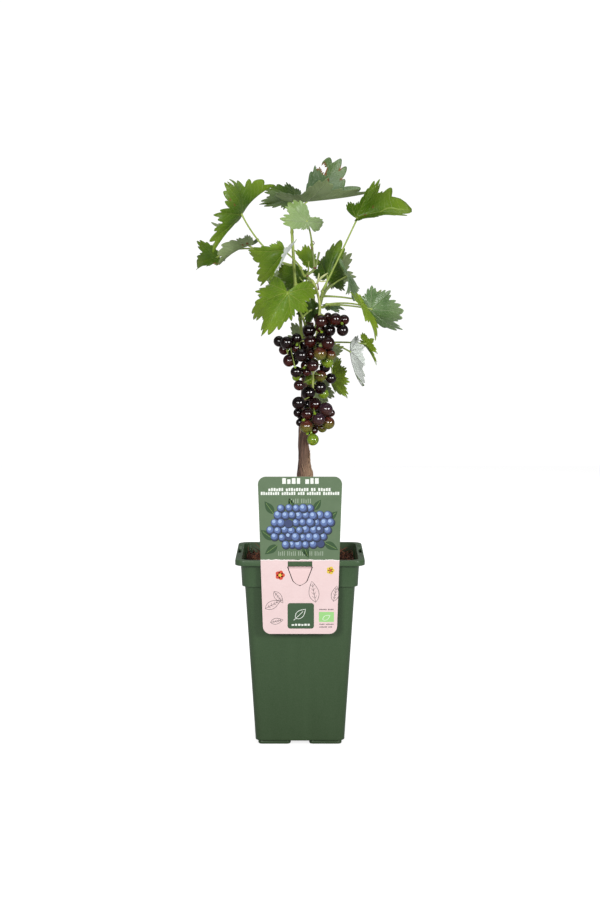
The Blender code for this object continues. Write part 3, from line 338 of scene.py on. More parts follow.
foot_bm = bmesh.new()
foot_half = (FEET_HALF - CHANNEL_HALF) / 2
foot_middle = CHANNEL_HALF + foot_half
for side_x in (-1, 1):
    for side_y in (-1, 1):
        add_block(foot_bm, (foot_half * 2, foot_half * 2, FOOT_HEIGHT + 0.001),
                  (side_x * foot_middle, side_y * foot_middle, (FOOT_HEIGHT + 0.001) / 2))
round_uprights(foot_bm, 0.005, 6)
sole = [edge for edge in foot_bm.edges if max(vert.co.z for vert in edge.verts) < 0.0001]
round_edges(foot_bm, sole, 0.0016, 3)
add_piece("pot_feet", foot_bm, [green_plastic], "pot")

rib_bm = bmesh.new()
rib_near, rib_far = COLLAR_TOP_HALF - POT_WALL / 2, RIM_HALF - POT_WALL / 2
for quarter in range(4):
    for end in (-1, 1):
        add_block(rib_bm, (RIB_THICKNESS, rib_far - rib_near, RIB_DEPTH),
                  (end * (SLOT_HALF + RIB_THICKNESS), -(rib_near + rib_far) / 2,
                   PLATE_FOOT + 0.0006 - RIB_DEPTH / 2), quarter)
add_piece("pot_flange_ribs", rib_bm, [green_plastic], "pot")


# The potting mix is coarse peat and coir, pressed down a little below the rim. Its top is a lumpy
# crust with loose reddish coir fibres and bits of bark lying across it.

SOIL_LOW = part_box("potting_soil")[0]
SOIL_TOP = 0.2085
SOIL_EDGE = COLLAR_FOOT_HALF - POT_WALL - 0.0004
LUMP = 0.003
FIBRES = 520


def soil_level(x, y):
    """Height of the crust: lumps of two sizes, flatter round the trunk."""
    lumps = noise.noise(Vector((x, y, 0)) * 110) * 0.7 + noise.noise(Vector((x, y, 0.3)) * 320) * 0.45
    calm = min(1, hypot(x, y) / 0.03)
    return SOIL_TOP + LUMP * lumps * calm


def crust_finish(name, dark, light, roughness=0.95):
    finish, tree, shader = start_material(name, dark, roughness)
    mask, relief = mottle(tree, 420.0, 3.0)
    surface(tree, shader, blend_colours(tree, mask, 1, dark, light), relief, 0.8, 0.0012)
    return finish


soil_bm = bmesh.new()
soil_profile = [(BODY_FOOT_HALF - POT_WALL - 0.0006, SOIL_LOW.z),
                (BODY_TOP_HALF - POT_WALL - 0.0006, COLLAR_FOOT - 0.002),
                (SOIL_EDGE, COLLAR_FOOT + 0.003), (SOIL_EDGE, SOIL_TOP - 0.003)]
for share in (0.985, 0.94, 0.88, 0.82, 0.75, 0.68, 0.6, 0.52, 0.44, 0.36, 0.28, 0.2, 0.12, 0.05):
    soil_profile.append((SOIL_EDGE * share, SOIL_TOP))
turn_square(soil_bm, soil_profile)
for vert in soil_bm.verts:
    if vert.co.z > SOIL_TOP - 0.0001:
        vert.co.z = soil_level(vert.co.x, vert.co.y)
long_edges = [edge for edge in soil_bm.edges if edge.calc_length() > 0.006
              and min(vert.co.z for vert in edge.verts) > SOIL_TOP - 0.006]
bmesh.ops.subdivide_edges(soil_bm, edges=long_edges, cuts=9, use_grid_fill=True)
for vert in soil_bm.verts:
    if vert.co.z > SOIL_TOP - 0.0045 and max(abs(vert.co.x), abs(vert.co.y)) < SOIL_EDGE * 0.99:
        vert.co.z = soil_level(vert.co.x, vert.co.y)
soil_crust = crust_finish("soil_crust", (34, 18, 13), (98, 57, 38))
add_piece("potting_mix", soil_bm, [soil_crust], "potting_soil")


def wrap_tube(bm, centres, radii, sides, relief=None):
    """Roll a grid of faces into a round bar along some centres, weld its seam and close its ends."""
    rows = len(centres)
    grid = bmesh.ops.create_grid(bm, x_segments=sides, y_segments=rows - 1, size=0.5)["verts"]
    axes = []
    side = (centres[1] - centres[0]).normalized().orthogonal()
    for row in range(rows):
        axis = (centres[min(row + 1, rows - 1)] - centres[max(row - 1, 0)]).normalized()
        side = (side - axis * side.dot(axis)).normalized()
        axes.append((side, axis.cross(side)))
    for vert in grid:
        column = round((vert.co.x + 0.5) * sides)
        row = round((vert.co.y + 0.5) * (rows - 1))
        turn = (column % sides) * 2 * pi / sides
        across, up = axes[row]
        outward = across * cos(turn) + up * sin(turn)
        vert.co = centres[row] + outward * radii[row] * (relief(outward, centres[row]) if relief else 1)
    bmesh.ops.remove_doubles(bm, verts=grid, dist=0.000001)
    live = [vert for vert in grid if vert.is_valid]
    ends = {edge for vert in live for edge in vert.link_edges if len(edge.link_faces) == 1}
    bmesh.ops.holes_fill(bm, edges=list(ends), sides=sides)


def scatter_fibres(seed, shortest, longest, thick):
    """Thin bent fibres that lie across the crust, some of them in tufts that stand up at the back."""
    chance = random.Random(seed)
    edge = SOIL_EDGE * 0.97
    bm = bmesh.new()
    for number in range(FIBRES):
        x, y = (chance.uniform(-0.97, 0.97) * SOIL_EDGE for axis in range(2))
        heading = chance.uniform(0, 2 * pi)
        length = chance.uniform(shortest, longest)
        tufted = y > 0 and abs(x) > 0.02 and chance.random() < 0.5
        rise = chance.uniform(0.3, 0.75) if tufted else chance.uniform(0, 0.35) ** 2 * 2.2
        route = []
        for step in range(4):
            along = step / 3 * length
            heading += chance.uniform(-0.35, 0.35)
            x_now = max(-edge, min(edge, x + cos(heading) * along))
            y_now = max(-edge, min(edge, y + sin(heading) * along))
            arch = 0.0006 + sin(pi * step / 3) * 0.001 + rise * along
            route.append(Vector((x_now, y_now, soil_level(x_now, y_now) + arch)))
        wrap_tube(bm, route, [thick * chance.uniform(0.6, 1.2)] * 3 + [thick * 0.4], 4)
    return bm


red_coir = crust_finish("coir_red_brown", (104, 58, 38), (150, 96, 66), 0.85)
dark_coir = crust_finish("coir_dark_brown", (44, 28, 21), (92, 58, 42), 0.9)
fine_fibres = scatter_fibres(21, 0.006, 0.02, 0.00036)
coarse_fibres = scatter_fibres(22, 0.004, 0.013, 0.0006)
add_piece("coir_fibres_red", fine_fibres, [red_coir], "potting_soil")
add_piece("coir_fibres_dark", coarse_fibres, [dark_coir], "potting_soil")


# The label is a tapering card with a glossy print, cut with a U-shaped window. The tongue from the
# window folds back over the rim and hooks down through the front slot, which holds the card up.
# The print is a green upper panel, torn along a wavy line, over a pale pink lower one.

LABEL_LOW, LABEL_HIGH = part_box("plant_label")
CARD_FACE = LABEL_LOW.y
CARD_THICKNESS = 0.0006
CARD_TOP, CARD_FOOT = LABEL_HIGH.z, LABEL_LOW.z
CARD_TOP_HALF = LABEL_HIGH.x
CARD_FOOT_HALF = CARD_TOP_HALF * 0.886
CARD_CORNER = 0.009
WINDOW_TOP = 0.2212
WINDOW_HALF = 0.0141
WINDOW_WAIST, WAIST_HALF = 0.2141, 0.0147
WINDOW_CHEEK, CHEEK_HALF = 0.199, 0.009
WINDOW_FOOT = 0.1923
GAP_LINE = 0.001
TEAR = 0.2226
TORN_EDGE = 0.00032
CORNER_CUTS = 10


def card_outline():
    """The card tapers downwards and has rounded corners."""
    corners = ((CARD_FOOT_HALF, CARD_FOOT, 1, -1), (CARD_TOP_HALF, CARD_TOP, 1, 1),
               (CARD_TOP_HALF, CARD_TOP, -1, 1), (CARD_FOOT_HALF, CARD_FOOT, -1, -1))
    run = []
    for number, (half, z, side_x, side_z) in enumerate(corners):
        run += corner_arc(side_x * (half - CARD_CORNER), z - side_z * CARD_CORNER, (number + 3) % 4,
                          CARD_CORNER, CORNER_CUTS)
    return run


def window_half(z):
    """Half the width of the U at a height: a waist, slanting sides, then a rounded foot."""
    if z > WINDOW_WAIST:
        return between(WAIST_HALF, WINDOW_HALF, min(1, (z - WINDOW_WAIST) / 0.001))
    if z > WINDOW_CHEEK:
        return between(CHEEK_HALF, WAIST_HALF, (z - WINDOW_CHEEK) / (WINDOW_WAIST - WINDOW_CHEEK))
    drop = (WINDOW_CHEEK - z) / (WINDOW_CHEEK - WINDOW_FOOT)
    return CHEEK_HALF * max(0, 1 - drop ** 1.6)


def window_outline():
    levels = [WINDOW_WAIST + 0.0011, WINDOW_WAIST, 0.21, 0.205, WINDOW_CHEEK]
    levels += [between(WINDOW_CHEEK, WINDOW_FOOT, step / 8) for step in range(1, 9)]
    right = [(window_half(z), z) for z in [WINDOW_TOP - 0.0004] + levels]
    left = [(-x, z) for x, z in reversed(right[:-1])]
    return [(WINDOW_HALF - 0.0006, WINDOW_TOP)] + right + left + [(-WINDOW_HALF + 0.0006, WINDOW_TOP)]


def closed_run(bm, outline, y):
    """Edges round an outline that stands upright."""
    verts = [bm.verts.new((x, y, z)) for x, z in outline]
    return [bm.edges.new((verts[i - 1], verts[i])) for i in range(len(verts))]


def card_print():
    """Green over pink with a torn paper edge between them, and the faint unevenness of the print."""
    finish, tree, shader = start_material("label_card_print", (108, 129, 101), 0.4)
    axes = object_axes(tree)
    inputs = {"Scale": 130.0, "Detail": 3.0, "W": axes["X"]}
    ragged = add_node(tree, "TexNoise", inputs, noise_dimensions="1D")
    height = maths(tree, "MULTIPLY_ADD", ragged.outputs["Fac"], 0.003, TEAR - 0.0015)
    above = maths(tree, "SUBTRACT", axes["Z"], height)
    mask, relief = mottle(tree, 90.0, 1.2)
    green = blend_colours(tree, mask, 1, (88, 110, 80), (98, 119, 89))
    pink = blend_colours(tree, mask, 1, (224, 197, 196), (230, 206, 205))
    panels = blend_colours(tree, maths(tree, "GREATER_THAN", above, 0.0), 1, pink, green)
    torn = maths(tree, "LESS_THAN", maths(tree, "ABSOLUTE", above), TORN_EDGE)
    surface(tree, shader, blend_colours(tree, torn, 1, panels, (250, 244, 242)), relief, 0.05, 0.0005)
    return finish


pink_card = start_material("label_card_pink", (228, 199, 198), 0.45)[0]
card_bm = bmesh.new()
outer = closed_run(card_bm, card_outline(), CARD_FACE)
inner = closed_run(card_bm, window_outline(), CARD_FACE)
bmesh.ops.triangle_fill(card_bm, use_beauty=True, use_dissolve=False, edges=outer + inner)
grown = bmesh.ops.extrude_face_region(card_bm, geom=list(card_bm.faces))["geom"]
back_verts = [part for part in grown if isinstance(part, bmesh.types.BMVert)]
bmesh.ops.translate(card_bm, vec=(0, CARD_THICKNESS, 0), verts=back_verts)
bmesh.ops.recalc_face_normals(card_bm, faces=card_bm.faces)
for face in card_bm.faces:
    face.material_index = 0 if face.normal.y < -0.9 else 1
add_piece("label_card", card_bm, [card_print(), pink_card], "plant_label", smooth=False)


def thicken(name, bm, finishes, thickness, rear=0):
    """Give an open sheet its thickness, with another finish behind if rear is 1, and return the mesh."""
    sheet = loose_object(name, bm)
    for finish in finishes:
        sheet.data.materials.append(finish)
    wall = sheet.modifiers.new("Wall", "SOLIDIFY")
    wall.thickness = thickness
    wall.offset = 0
    wall.material_offset = rear
    bpy.context.view_layer.update()
    solid = sheet.evaluated_get(bpy.context.evaluated_depsgraph_get())
    mesh = bpy.data.meshes.new_from_object(solid)
    bpy.data.objects.remove(sheet, do_unlink=True)
    return mesh


# The tongue's way up over the rim, down through the slot and on behind the lip: how far each point lies
# behind the card's face, and its height from the window's top, then from the lip's foot, down to the tip
TONGUE_ROUTE = [(CARD_FACE + depth, WINDOW_TOP + rise) for depth, rise in (
    (0.0003, -0.0002), (0.0004, 0.0006), (0.0011, 0.0011),
    (0.003, 0.0009), (0.004, 0.0002), (0.0046, -0.0016))]
TONGUE_ROUTE += [(CARD_FACE + depth, LIP_FOOT + rise) for depth, rise in (
    (0.0046, 0.001), (0.0042, -0.0004), (0.003, -0.0016), (0.0014, -0.0026), (0.0006, -0.004))]
TONGUE_ROUTE += [(CARD_FACE + 0.0005, between(LIP_FOOT - 0.0056, WINDOW_FOOT + 0.0012, step / 14))
                 for step in range(15)]
TONGUE_ROWS = len(TONGUE_ROUTE)
tongue_bm = bmesh.new()
for vert in bmesh.ops.create_grid(tongue_bm, x_segments=8, y_segments=TONGUE_ROWS - 1, size=0.5)["verts"]:
    row = round((vert.co.y + 0.5) * (TONGUE_ROWS - 1))
    y, z = TONGUE_ROUTE[row]
    half = max(0.0006, window_half(min(z, WINDOW_TOP - 0.001)) - GAP_LINE)
    vert.co = Vector((vert.co.x * 2 * half, y, z))
tongue_mesh = thicken("tongue", tongue_bm, [pink_card], CARD_THICKNESS)
tongue_bm = bmesh.new()
tongue_bm.from_mesh(tongue_mesh)
bpy.data.meshes.remove(tongue_mesh)
add_piece("label_tongue", tongue_bm, [pink_card], "plant_label", smooth=False)

# Each printed layer lies this far in front of the one below
PRINT_LIFT = 0.00003


def lay_flat(bm, verts, stretch, x, z, layer, ink):
    """Stand a flat shape up on the card, in one of the inks."""
    bmesh.ops.scale(bm, vec=stretch, verts=verts)
    bmesh.ops.rotate(bm, cent=(0, 0, 0), matrix=Matrix.Rotation(pi / 2, 3, "X"), verts=verts)
    bmesh.ops.translate(bm, vec=(x, CARD_FACE - PRINT_LIFT * layer, z), verts=verts)
    for face in verts[0].link_faces:
        face.material_index = ink


def printed_disc(bm, x, z, radius, layer, ink):
    verts = bmesh.ops.create_circle(bm, cap_ends=True, segments=20, radius=radius)["verts"]
    lay_flat(bm, verts, (1, 1, 1), x, z, layer, ink)


def printed_block(bm, x, z, wide, tall, layer, ink):
    verts = bmesh.ops.create_grid(bm, x_segments=1, y_segments=1, size=0.5)["verts"]
    lay_flat(bm, verts, (wide, tall, 1), x, z, layer, ink)


def printed_shape(bm, run, layer, ink):
    """A flat shape inside an outline."""
    face = bm.faces.new([bm.verts.new((x, CARD_FACE - PRINT_LIFT * layer, z)) for x, z in run])
    face.material_index = ink


def printed_row(bm, low_x, high_x, z, tall, groups, layer, ink):
    """A row of small upright blocks in groups, which fills the place of a line of type."""
    places = sum(groups) + 0.8 * (len(groups) - 1)
    pitch = (high_x - low_x) / places
    x = low_x
    for count in groups:
        for block in range(count):
            height = tall * (1.0 if (block * 5 + count) % 3 else 0.8)
            wide = pitch * (0.66 if block % 2 else 0.78) * (0.5 if ink == SOFT else 1)
            printed_block(bm, x + pitch / 2, z - (tall - height) / 2, wide, height, layer, ink)
            x += pitch
        x += pitch * 0.8


def printed_line(bm, run, width, layer, ink, closed=False):
    """A thin printed stroke through some points, drawn as a ribbon of even width."""
    places = [Vector((x, 0, z)) for x, z in run]
    count = len(places)
    rims = []
    for i, place in enumerate(places):
        before = places[i - 1] if (closed or i) else place
        after = places[(i + 1) % count] if (closed or i < count - 1) else place
        along = (after - before).normalized()
        aside = Vector((-along.z, 0, along.x)) * width / 2
        level = Vector((0, CARD_FACE - PRINT_LIFT * layer, 0))
        rims.append((bm.verts.new(place + aside + level), bm.verts.new(place - aside + level)))
    pairs = list(zip(rims, rims[1:])) + ([(rims[-1], rims[0])] if closed else [])
    for (a, b), (c, d) in pairs:
        face = bm.faces.new((a, c, d, b))
        face.material_index = ink


def leaf_run(x, z, length, width, tilt, steps=9):
    """Outline of a plain pointed leaf, from its stalk end and back."""
    half = [(length * i / steps, sin(pi * (i / steps) ** 0.8) * width / 2) for i in range(steps + 1)]
    flat = half + [(u, -v) for u, v in reversed(half[1:-1])]
    return [(x + u * cos(tilt) - v * sin(tilt), z + u * sin(tilt) + v * cos(tilt)) for u, v in flat]


def leaf_rib(x, z, length, tilt):
    return [(x, z), (x + cos(tilt) * length * 0.85, z + sin(tilt) * length * 0.85)]


def printed_leaf(bm, x, z, length, width, tilt, layer, ink, rib_ink):
    printed_shape(bm, leaf_run(x, z, length, width, tilt), layer, ink)
    printed_line(bm, leaf_rib(x, z, length, tilt), 0.0005, layer + 1, rib_ink)


def drawn_leaf(bm, x, z, length, tilt, ink):
    """A leaf in plain line: its margin, its rib and four pairs of side ribs."""
    printed_line(bm, leaf_run(x, z, length, length * 0.46, tilt), 0.00055, 1, ink, closed=True)
    printed_line(bm, leaf_rib(x, z, length, tilt), 0.0005, 1, ink)
    for rib in range(1, 5):
        foot = Vector((x + cos(tilt) * length * rib / 5.5, z + sin(tilt) * length * rib / 5.5))
        for side in (-1, 1):
            turn = tilt + side * 0.7
            tip = foot + Vector((cos(turn), sin(turn))) * length * 0.16
            printed_line(bm, [tuple(foot), tuple(tip)], 0.0004, 1, ink)


def printed_panel(bm, low_x, high_x, low_z, high_z, corner, ink):
    """A flat panel with rounded corners."""
    run = []
    for quarter, (x, z) in enumerate(((high_x - corner, high_z - corner), (low_x + corner, high_z - corner),
                                      (low_x + corner, low_z + corner), (high_x - corner, low_z + corner))):
        run += corner_arc(x, z, quarter, corner, 6)
    printed_shape(bm, run, 1, ink)


INKS = [start_material(name, colour, 0.4)[0] for name, colour in (
    ("ink_shadow", (34, 44, 52)), ("ink_blue_deep", (58, 70, 108)), ("ink_blue", (92, 114, 164)),
    ("ink_blue_pale", (156, 180, 218)), ("ink_white", (232, 236, 228)), ("ink_leaf", (50, 80, 46)),
    ("ink_leaf_pale", (118, 146, 82)), ("ink_grey", (104, 92, 92)), ("ink_red", (206, 74, 52)),
    ("ink_yellow", (226, 194, 70)), ("ink_badge", (58, 84, 56)), ("ink_light_green", (152, 206, 128)),
    ("ink_soft_green", (158, 172, 152)))]
SHADOW, DEEP, BLUE, PALE, WHITE, LEAF_INK, LEAF_PALE, GREY, RED, YELLOW, BADGE, LIGHT, SOFT = range(13)

print_bm = bmesh.new()
garland = random.Random(8)
for x, z, length, tilt in (
        (-0.03, 0.246, 0.019, 2.5), (-0.026, 0.24, 0.018, -2.5), (-0.03, 0.276, 0.018, 2.2),
        (0.028, 0.243, 0.018, -0.5), (0.03, 0.268, 0.017, 0.7), (0.004, 0.24, 0.016, -1.2),
        (-0.008, 0.281, 0.014, 1.9), (0.016, 0.28, 0.015, 1.0)):
    printed_leaf(print_bm, x, z, length, length * 0.5, tilt, 2, LEAF_INK, LEAF_PALE)
for row in range(6):
    for column in range(9):
        x = between(-0.0335, 0.0355, (column + (row % 2) / 2) / 8.5) + garland.uniform(-0.0009, 0.0009)
        z = between(0.241, 0.2825, row / 5) + garland.uniform(-0.0009, 0.0009)
        if abs(x / 0.038) ** 2.4 + abs((z - 0.2618) / 0.0245) ** 2.4 > garland.uniform(0.8, 1.05):
            continue
        size = garland.uniform(0.0042, 0.0052)
        layer = 4 + 5 * ((column + row * 2) % 3)
        body = DEEP if garland.random() < 0.22 else BLUE
        printed_disc(print_bm, x + 0.0005, z - 0.0007, size * 1.08, layer, SHADOW)
        printed_disc(print_bm, x, z, size, layer + 1, DEEP)
        printed_disc(print_bm, x - size * 0.1, z + size * 0.12, size * 0.8, layer + 2, body)
        if body == BLUE or garland.random() < 0.3:
            printed_disc(print_bm, x - size * 0.22, z + size * 0.3, size * 0.42, layer + 3, PALE)
for low_x, high_x, z, tall, groups, ink in (
        (-0.021, 0.022, 0.314, 0.0066, (4, 3), WHITE),
        (-0.0365, 0.0352, 0.3041, 0.0036, (6, 9, 2, 5), WHITE),
        (-0.0452, 0.0452, 0.2997, 0.0036, (8, 6, 3, 6, 7), WHITE),
        (-0.0135, 0.0131, 0.291, 0.0052, (5, 5), SOFT),
        (-0.0255, 0.0271, 0.2302, 0.0052, (4, 5, 8, 5), SOFT),
        (-0.01, 0.0118, 0.1472, 0.0022, (6,), WHITE), (0.0222, 0.0388, 0.165, 0.0014, (5, 4), GREY),
        (0.0222, 0.0388, 0.1478, 0.0013, (4, 6), GREY), (0.0222, 0.037, 0.1446, 0.0013, (6, 3), GREY)):
    printed_row(print_bm, low_x, high_x, z, tall, groups, 2, ink)
for x, z, length, tilt in ((0.018, 0.1735, 0.025, 1.75), (0.0385, 0.1745, 0.0185, 1.35),
                           (-0.04, 0.166, 0.02, 0.5), (-0.03, 0.186, 0.017, -0.9),
                           (-0.034, 0.15, 0.015, 0.2)):
    drawn_leaf(print_bm, x, z, length, tilt, GREY)
for petal in range(5):
    turn = petal * 2 * pi / 5
    printed_disc(print_bm, -0.023 + cos(turn) * 0.003, 0.205 + sin(turn) * 0.003, 0.0026, 2, RED)
    printed_disc(print_bm, 0.035 + cos(turn) * 0.0026, 0.2105 + sin(turn) * 0.0026, 0.0021, 2, YELLOW)
printed_disc(print_bm, -0.023, 0.205, 0.0018, 3, YELLOW)
printed_disc(print_bm, 0.035, 0.2105, 0.0014, 3, RED)
printed_panel(print_bm, -0.0143, 0.0161, 0.1427, 0.1725, 0.003, BADGE)
printed_line(print_bm, leaf_run(-0.0052, 0.1545, 0.016, 0.0085, 0.75), 0.0006, 2, WHITE, closed=True)
printed_line(print_bm, [(-0.0074, 0.1523), (0.0036, 0.1628)], 0.0006, 2, WHITE)
printed_panel(print_bm, 0.0218, 0.0391, 0.1505, 0.1622, 0.0003, LIGHT)
printed_line(print_bm, leaf_run(0.0262, 0.153, 0.01, 0.005, 0.55), 0.0005, 2, WHITE, closed=True)
print_bm.normal_update()
for face in print_bm.faces:
    if face.normal.y > 0:
        face.normal_flip()
add_piece("label_print", print_bm, INKS, "plant_label", smooth=False, turn_out=False)


# The trunk is an old brown cane with fibrous, peeling bark. It flares where it leaves the mix,
# swells at a knuckle a third of the way up, and ends where the green shoots leave it.

GAP = 0.0003
TRUNK = [(0.002, 0.0, SOIL_TOP + GAP, 0.0125), (0.002, 0.0, 0.215, 0.0098),
         (0.0028, 0.0008, 0.235, 0.008), (0.0045, 0.002, 0.285, 0.0074),
         (0.0054, 0.003, 0.304, 0.009), (0.0056, 0.0032, 0.313, 0.0093),
         (0.005, 0.0038, 0.323, 0.0074), (0.0044, 0.004, 0.336, 0.0063),
         (0.0045, 0.004, 0.36, 0.0062), (0.0071, 0.004, 0.41, 0.006),
         (0.0095, 0.004, 0.46, 0.0056), (0.0108, 0.004, 0.485, 0.0052),
         (0.0112, 0.004, 0.4925, 0.0044)]
TRUNK_SIDES = 64
TRUNK_STEP = 0.0011
KNUCKLE = 0.312
PEELING_STRIPS = 34
TORN_STRIPS = 9


def smooth_route(rows, spacing):
    """Even steps along a limb's rows of place and radius, rounded by a Catmull-Rom curve."""
    knots = [Vector(row) for row in rows]
    route = []
    for i in range(len(knots) - 1):
        p0, p1 = knots[max(i - 1, 0)], knots[i]
        p2, p3 = knots[i + 1], knots[min(i + 2, len(knots) - 1)]
        count = max(2, round((p2 - p1).length / spacing))
        for step in range(count):
            t = step / count
            route.append((p1 * 2 + (p2 - p0) * t + (p0 * 2 - p1 * 5 + p2 * 4 - p3) * t ** 2
                          + (p1 * 3 - p0 - p2 * 3 + p3) * t ** 3) * 0.5)
    route.append(knots[-1])
    return [place.to_3d() for place in route], [place.w for place in route]


def bark_relief(outward, centre):
    """Long upright strips of bark with cracks between them, and lumps at the knuckle."""
    strips = abs(noise.noise(outward * 3.2 + Vector((0, 0, centre.z * 26)))) * 2
    fine = noise.noise(outward * 9.0 + Vector((3.1, 0, centre.z * 70)))
    lumps = noise.noise(outward * 1.3 + Vector((0, 7.7, centre.z * 60)))
    knuckle = exp(-((centre.z - KNUCKLE) / 0.012) ** 2)
    return 0.88 + 0.2 * min(1, strips) ** 0.6 + 0.06 * fine + (0.04 + 0.1 * knuckle) * lumps


def bark_finish():
    """Dark strips with paler ridges and grey clouds, with painted light: lighter and reddish on the right,
    darker and greyer on the left. Bare tan bark at the knuckle shows on the right only.
    """
    finish, tree, shader = start_material("trunk_bark", (70, 52, 44), 0.9)
    strips, relief = mottle(tree, 560.0, 4.2, (1, 1, 0.11))
    ridged = blend_colours(tree, strips, 1, (36, 24, 22), (112, 84, 70))
    axes = object_axes(tree)
    # Painted light: the right side is painted lighter and reddish as if lit, the left darker as if in shade;
    # the bare tan bark is kept to the right side too.
    lit_side = ramp(tree, maths(tree, "MULTIPLY_ADD", axes["Z"], -0.033, axes["X"]), -0.012, 0.004)
    lit_side_colour = blend_colours(tree, lit_side, 0.42, ridged, (122, 74, 56))
    greyed = blend_colours(tree, mottle(tree, 150.0, 2.8, (1, 1, 0.35))[0], 0.4, lit_side_colour, (84, 70, 62))
    stripped = maths(tree, "MULTIPLY", ramp(tree, axes["Z"], 0.352, 0.318), lit_side)
    surface(tree, shader, blend_colours(tree, stripped, 1, greyed, (158, 130, 104)), relief, 1.0, 0.0013)
    return finish


trunk_bm = bmesh.new()
trunk_centres, trunk_radii = smooth_route(TRUNK, TRUNK_STEP)
wrap_tube(trunk_bm, trunk_centres, trunk_radii, TRUNK_SIDES, bark_relief)
add_piece("trunk_bark", trunk_bm, [bark_finish()], "trunk")

peeling_bm = bmesh.new()
peel = random.Random(31)
for strip in range(PEELING_STRIPS):
    torn_off = strip < TORN_STRIPS
    low = 0.322 if torn_off else peel.uniform(0.225, 0.47)
    heading = peel.uniform(-0.6, 0.5) if torn_off else peel.uniform(-pi, 0.4)
    length = peel.uniform(0.01, 0.024)
    lifted = peel.uniform(0.0004, 0.0022)
    route = []
    for step in range(7):
        level = low + length * step / 6
        nearest = min(range(len(trunk_centres)), key=lambda i: abs(trunk_centres[i].z - level))
        swing = heading + 0.12 * sin(step + strip)
        out = trunk_radii[nearest] + 0.0003 + lifted * (step / 6) ** 2
        middle = trunk_centres[nearest]
        route.append(Vector((middle.x + cos(swing) * out, middle.y + sin(swing) * out, level)))
    wrap_tube(peeling_bm, route, [peel.uniform(0.00035, 0.00065)] * 6 + [0.0002], 5)
tan_fibre = crust_finish("bark_peeling_tan", (112, 84, 66), (176, 148, 120), 0.8)
add_piece("trunk_peeling", peeling_bm, [tan_fibre], "trunk")


# Three green shoots leave the trunk's head. They are smooth and pale, a little swollen and brown
# at the joints where leaf stalks and tendrils come off.


def leave_limb(limb, height, heading):
    """First two points of a stem that leaves a limb squarely, a hairline clear of its bark."""
    low, high = next(pair for pair in zip(limb, limb[1:]) if pair[0][2] <= height <= pair[1][2])
    share = (height - low[2]) / (high[2] - low[2])
    centre = Vector(low[:3]).lerp(Vector(high[:3]), share)
    radius = between(low[3], high[3], share)
    axis = (Vector(high[:3]) - Vector(low[:3])).normalized()
    heading = Vector(heading)
    heading = (heading - axis * heading.dot(axis)).normalized()
    start = centre + heading * (radius + GAP)
    return start, start + heading * 0.003


def tip_stem(limb):
    """First two points of a stem that carries a limb on from its tip."""
    tip, before = Vector(limb[-1][:3]), Vector(limb[-2][:3])
    heading = (tip - before).normalized()
    return tip + heading * GAP, tip + heading * 0.003


def shoot(points, thick, thin):
    """A limb's rows of place and radius, from its thick end to its thin one."""
    last = len(points) - 1
    return [(*place, between(thick, thin, i / last)) for i, place in enumerate(points)]


LEFT_FOOT, LEFT_COLLAR = leave_limb(TRUNK, 0.474, (-0.85, -0.45, 0.25))
SHOOT_LEFT = shoot([LEFT_FOOT, LEFT_COLLAR, (0.0002, -0.0012, 0.4966), (-0.0052, 0.0, 0.5364),
                    (-0.0072, 0.0, 0.5632), (-0.0094, 0.0, 0.5981), (-0.0099, 0.0, 0.617)],
                   0.0021, 0.0016)
SHOOT_MIDDLE = shoot([*tip_stem(TRUNK), (0.014, 0.0025, 0.502), (0.0169, 0.0, 0.5134),
                      (0.015, -0.001, 0.5207), (0.0117, -0.002, 0.5411), (0.0082, 0.0, 0.5475),
                      (0.0164, 0.0, 0.5557), (0.0144, 0.0, 0.5772)], 0.0028, 0.0013)
RIGHT_FOOT, RIGHT_COLLAR = leave_limb(TRUNK, 0.485, (0.8, -0.45, 0.5))
SHOOT_RIGHT = shoot([RIGHT_FOOT, RIGHT_COLLAR, (0.0215, -0.003, 0.505), (0.024, -0.003, 0.519)],
                    0.0022, 0.0016)
LIMBS = (TRUNK, SHOOT_LEFT, SHOOT_MIDDLE, SHOOT_RIGHT)


def green_stem(name, pale, deep, roughness=0.42):
    """Smooth green stem with faint lengthwise streaks."""
    finish, tree, shader = start_material(name, pale, roughness)
    streaks, relief = mottle(tree, 700.0, 2.2, (1, 1, 0.12))
    surface(tree, shader, blend_colours(tree, streaks, 1, deep, pale), relief, 0.25, 0.0003)
    return finish


def add_limb(bm, rows, spacing, sides):
    """A round bar along a limb's rows of place and radius."""
    wrap_tube(bm, *smooth_route(rows, spacing), sides)


def add_ball(bm, radius, place, stretch=(1, 1, 1)):
    ball = bmesh.ops.create_icosphere(bm, subdivisions=3, radius=radius)["verts"]
    bmesh.ops.scale(bm, vec=stretch, verts=ball)
    bmesh.ops.translate(bm, vec=place, verts=ball)


tall_stem = green_stem("stem_yellow_green", (168, 182, 88), (134, 156, 66))
woody_stem = green_stem("stem_olive", (140, 154, 82), (96, 112, 50))
joint_brown = green_stem("joint_brown", (128, 84, 62), (86, 52, 38), 0.6)

for name, limb, finish in (("shoot_left", SHOOT_LEFT, tall_stem), ("shoot_middle", SHOOT_MIDDLE, woody_stem),
                           ("shoot_right", SHOOT_RIGHT, woody_stem)):
    stem_bm = bmesh.new()
    add_limb(stem_bm, limb, 0.0012, 20)
    for x, y, z, radius in limb[2:-1]:
        add_ball(stem_bm, radius * 1.28, (x, y, z), (1, 1, 1.5))
    add_piece(name + "_stem", stem_bm, [finish], name)

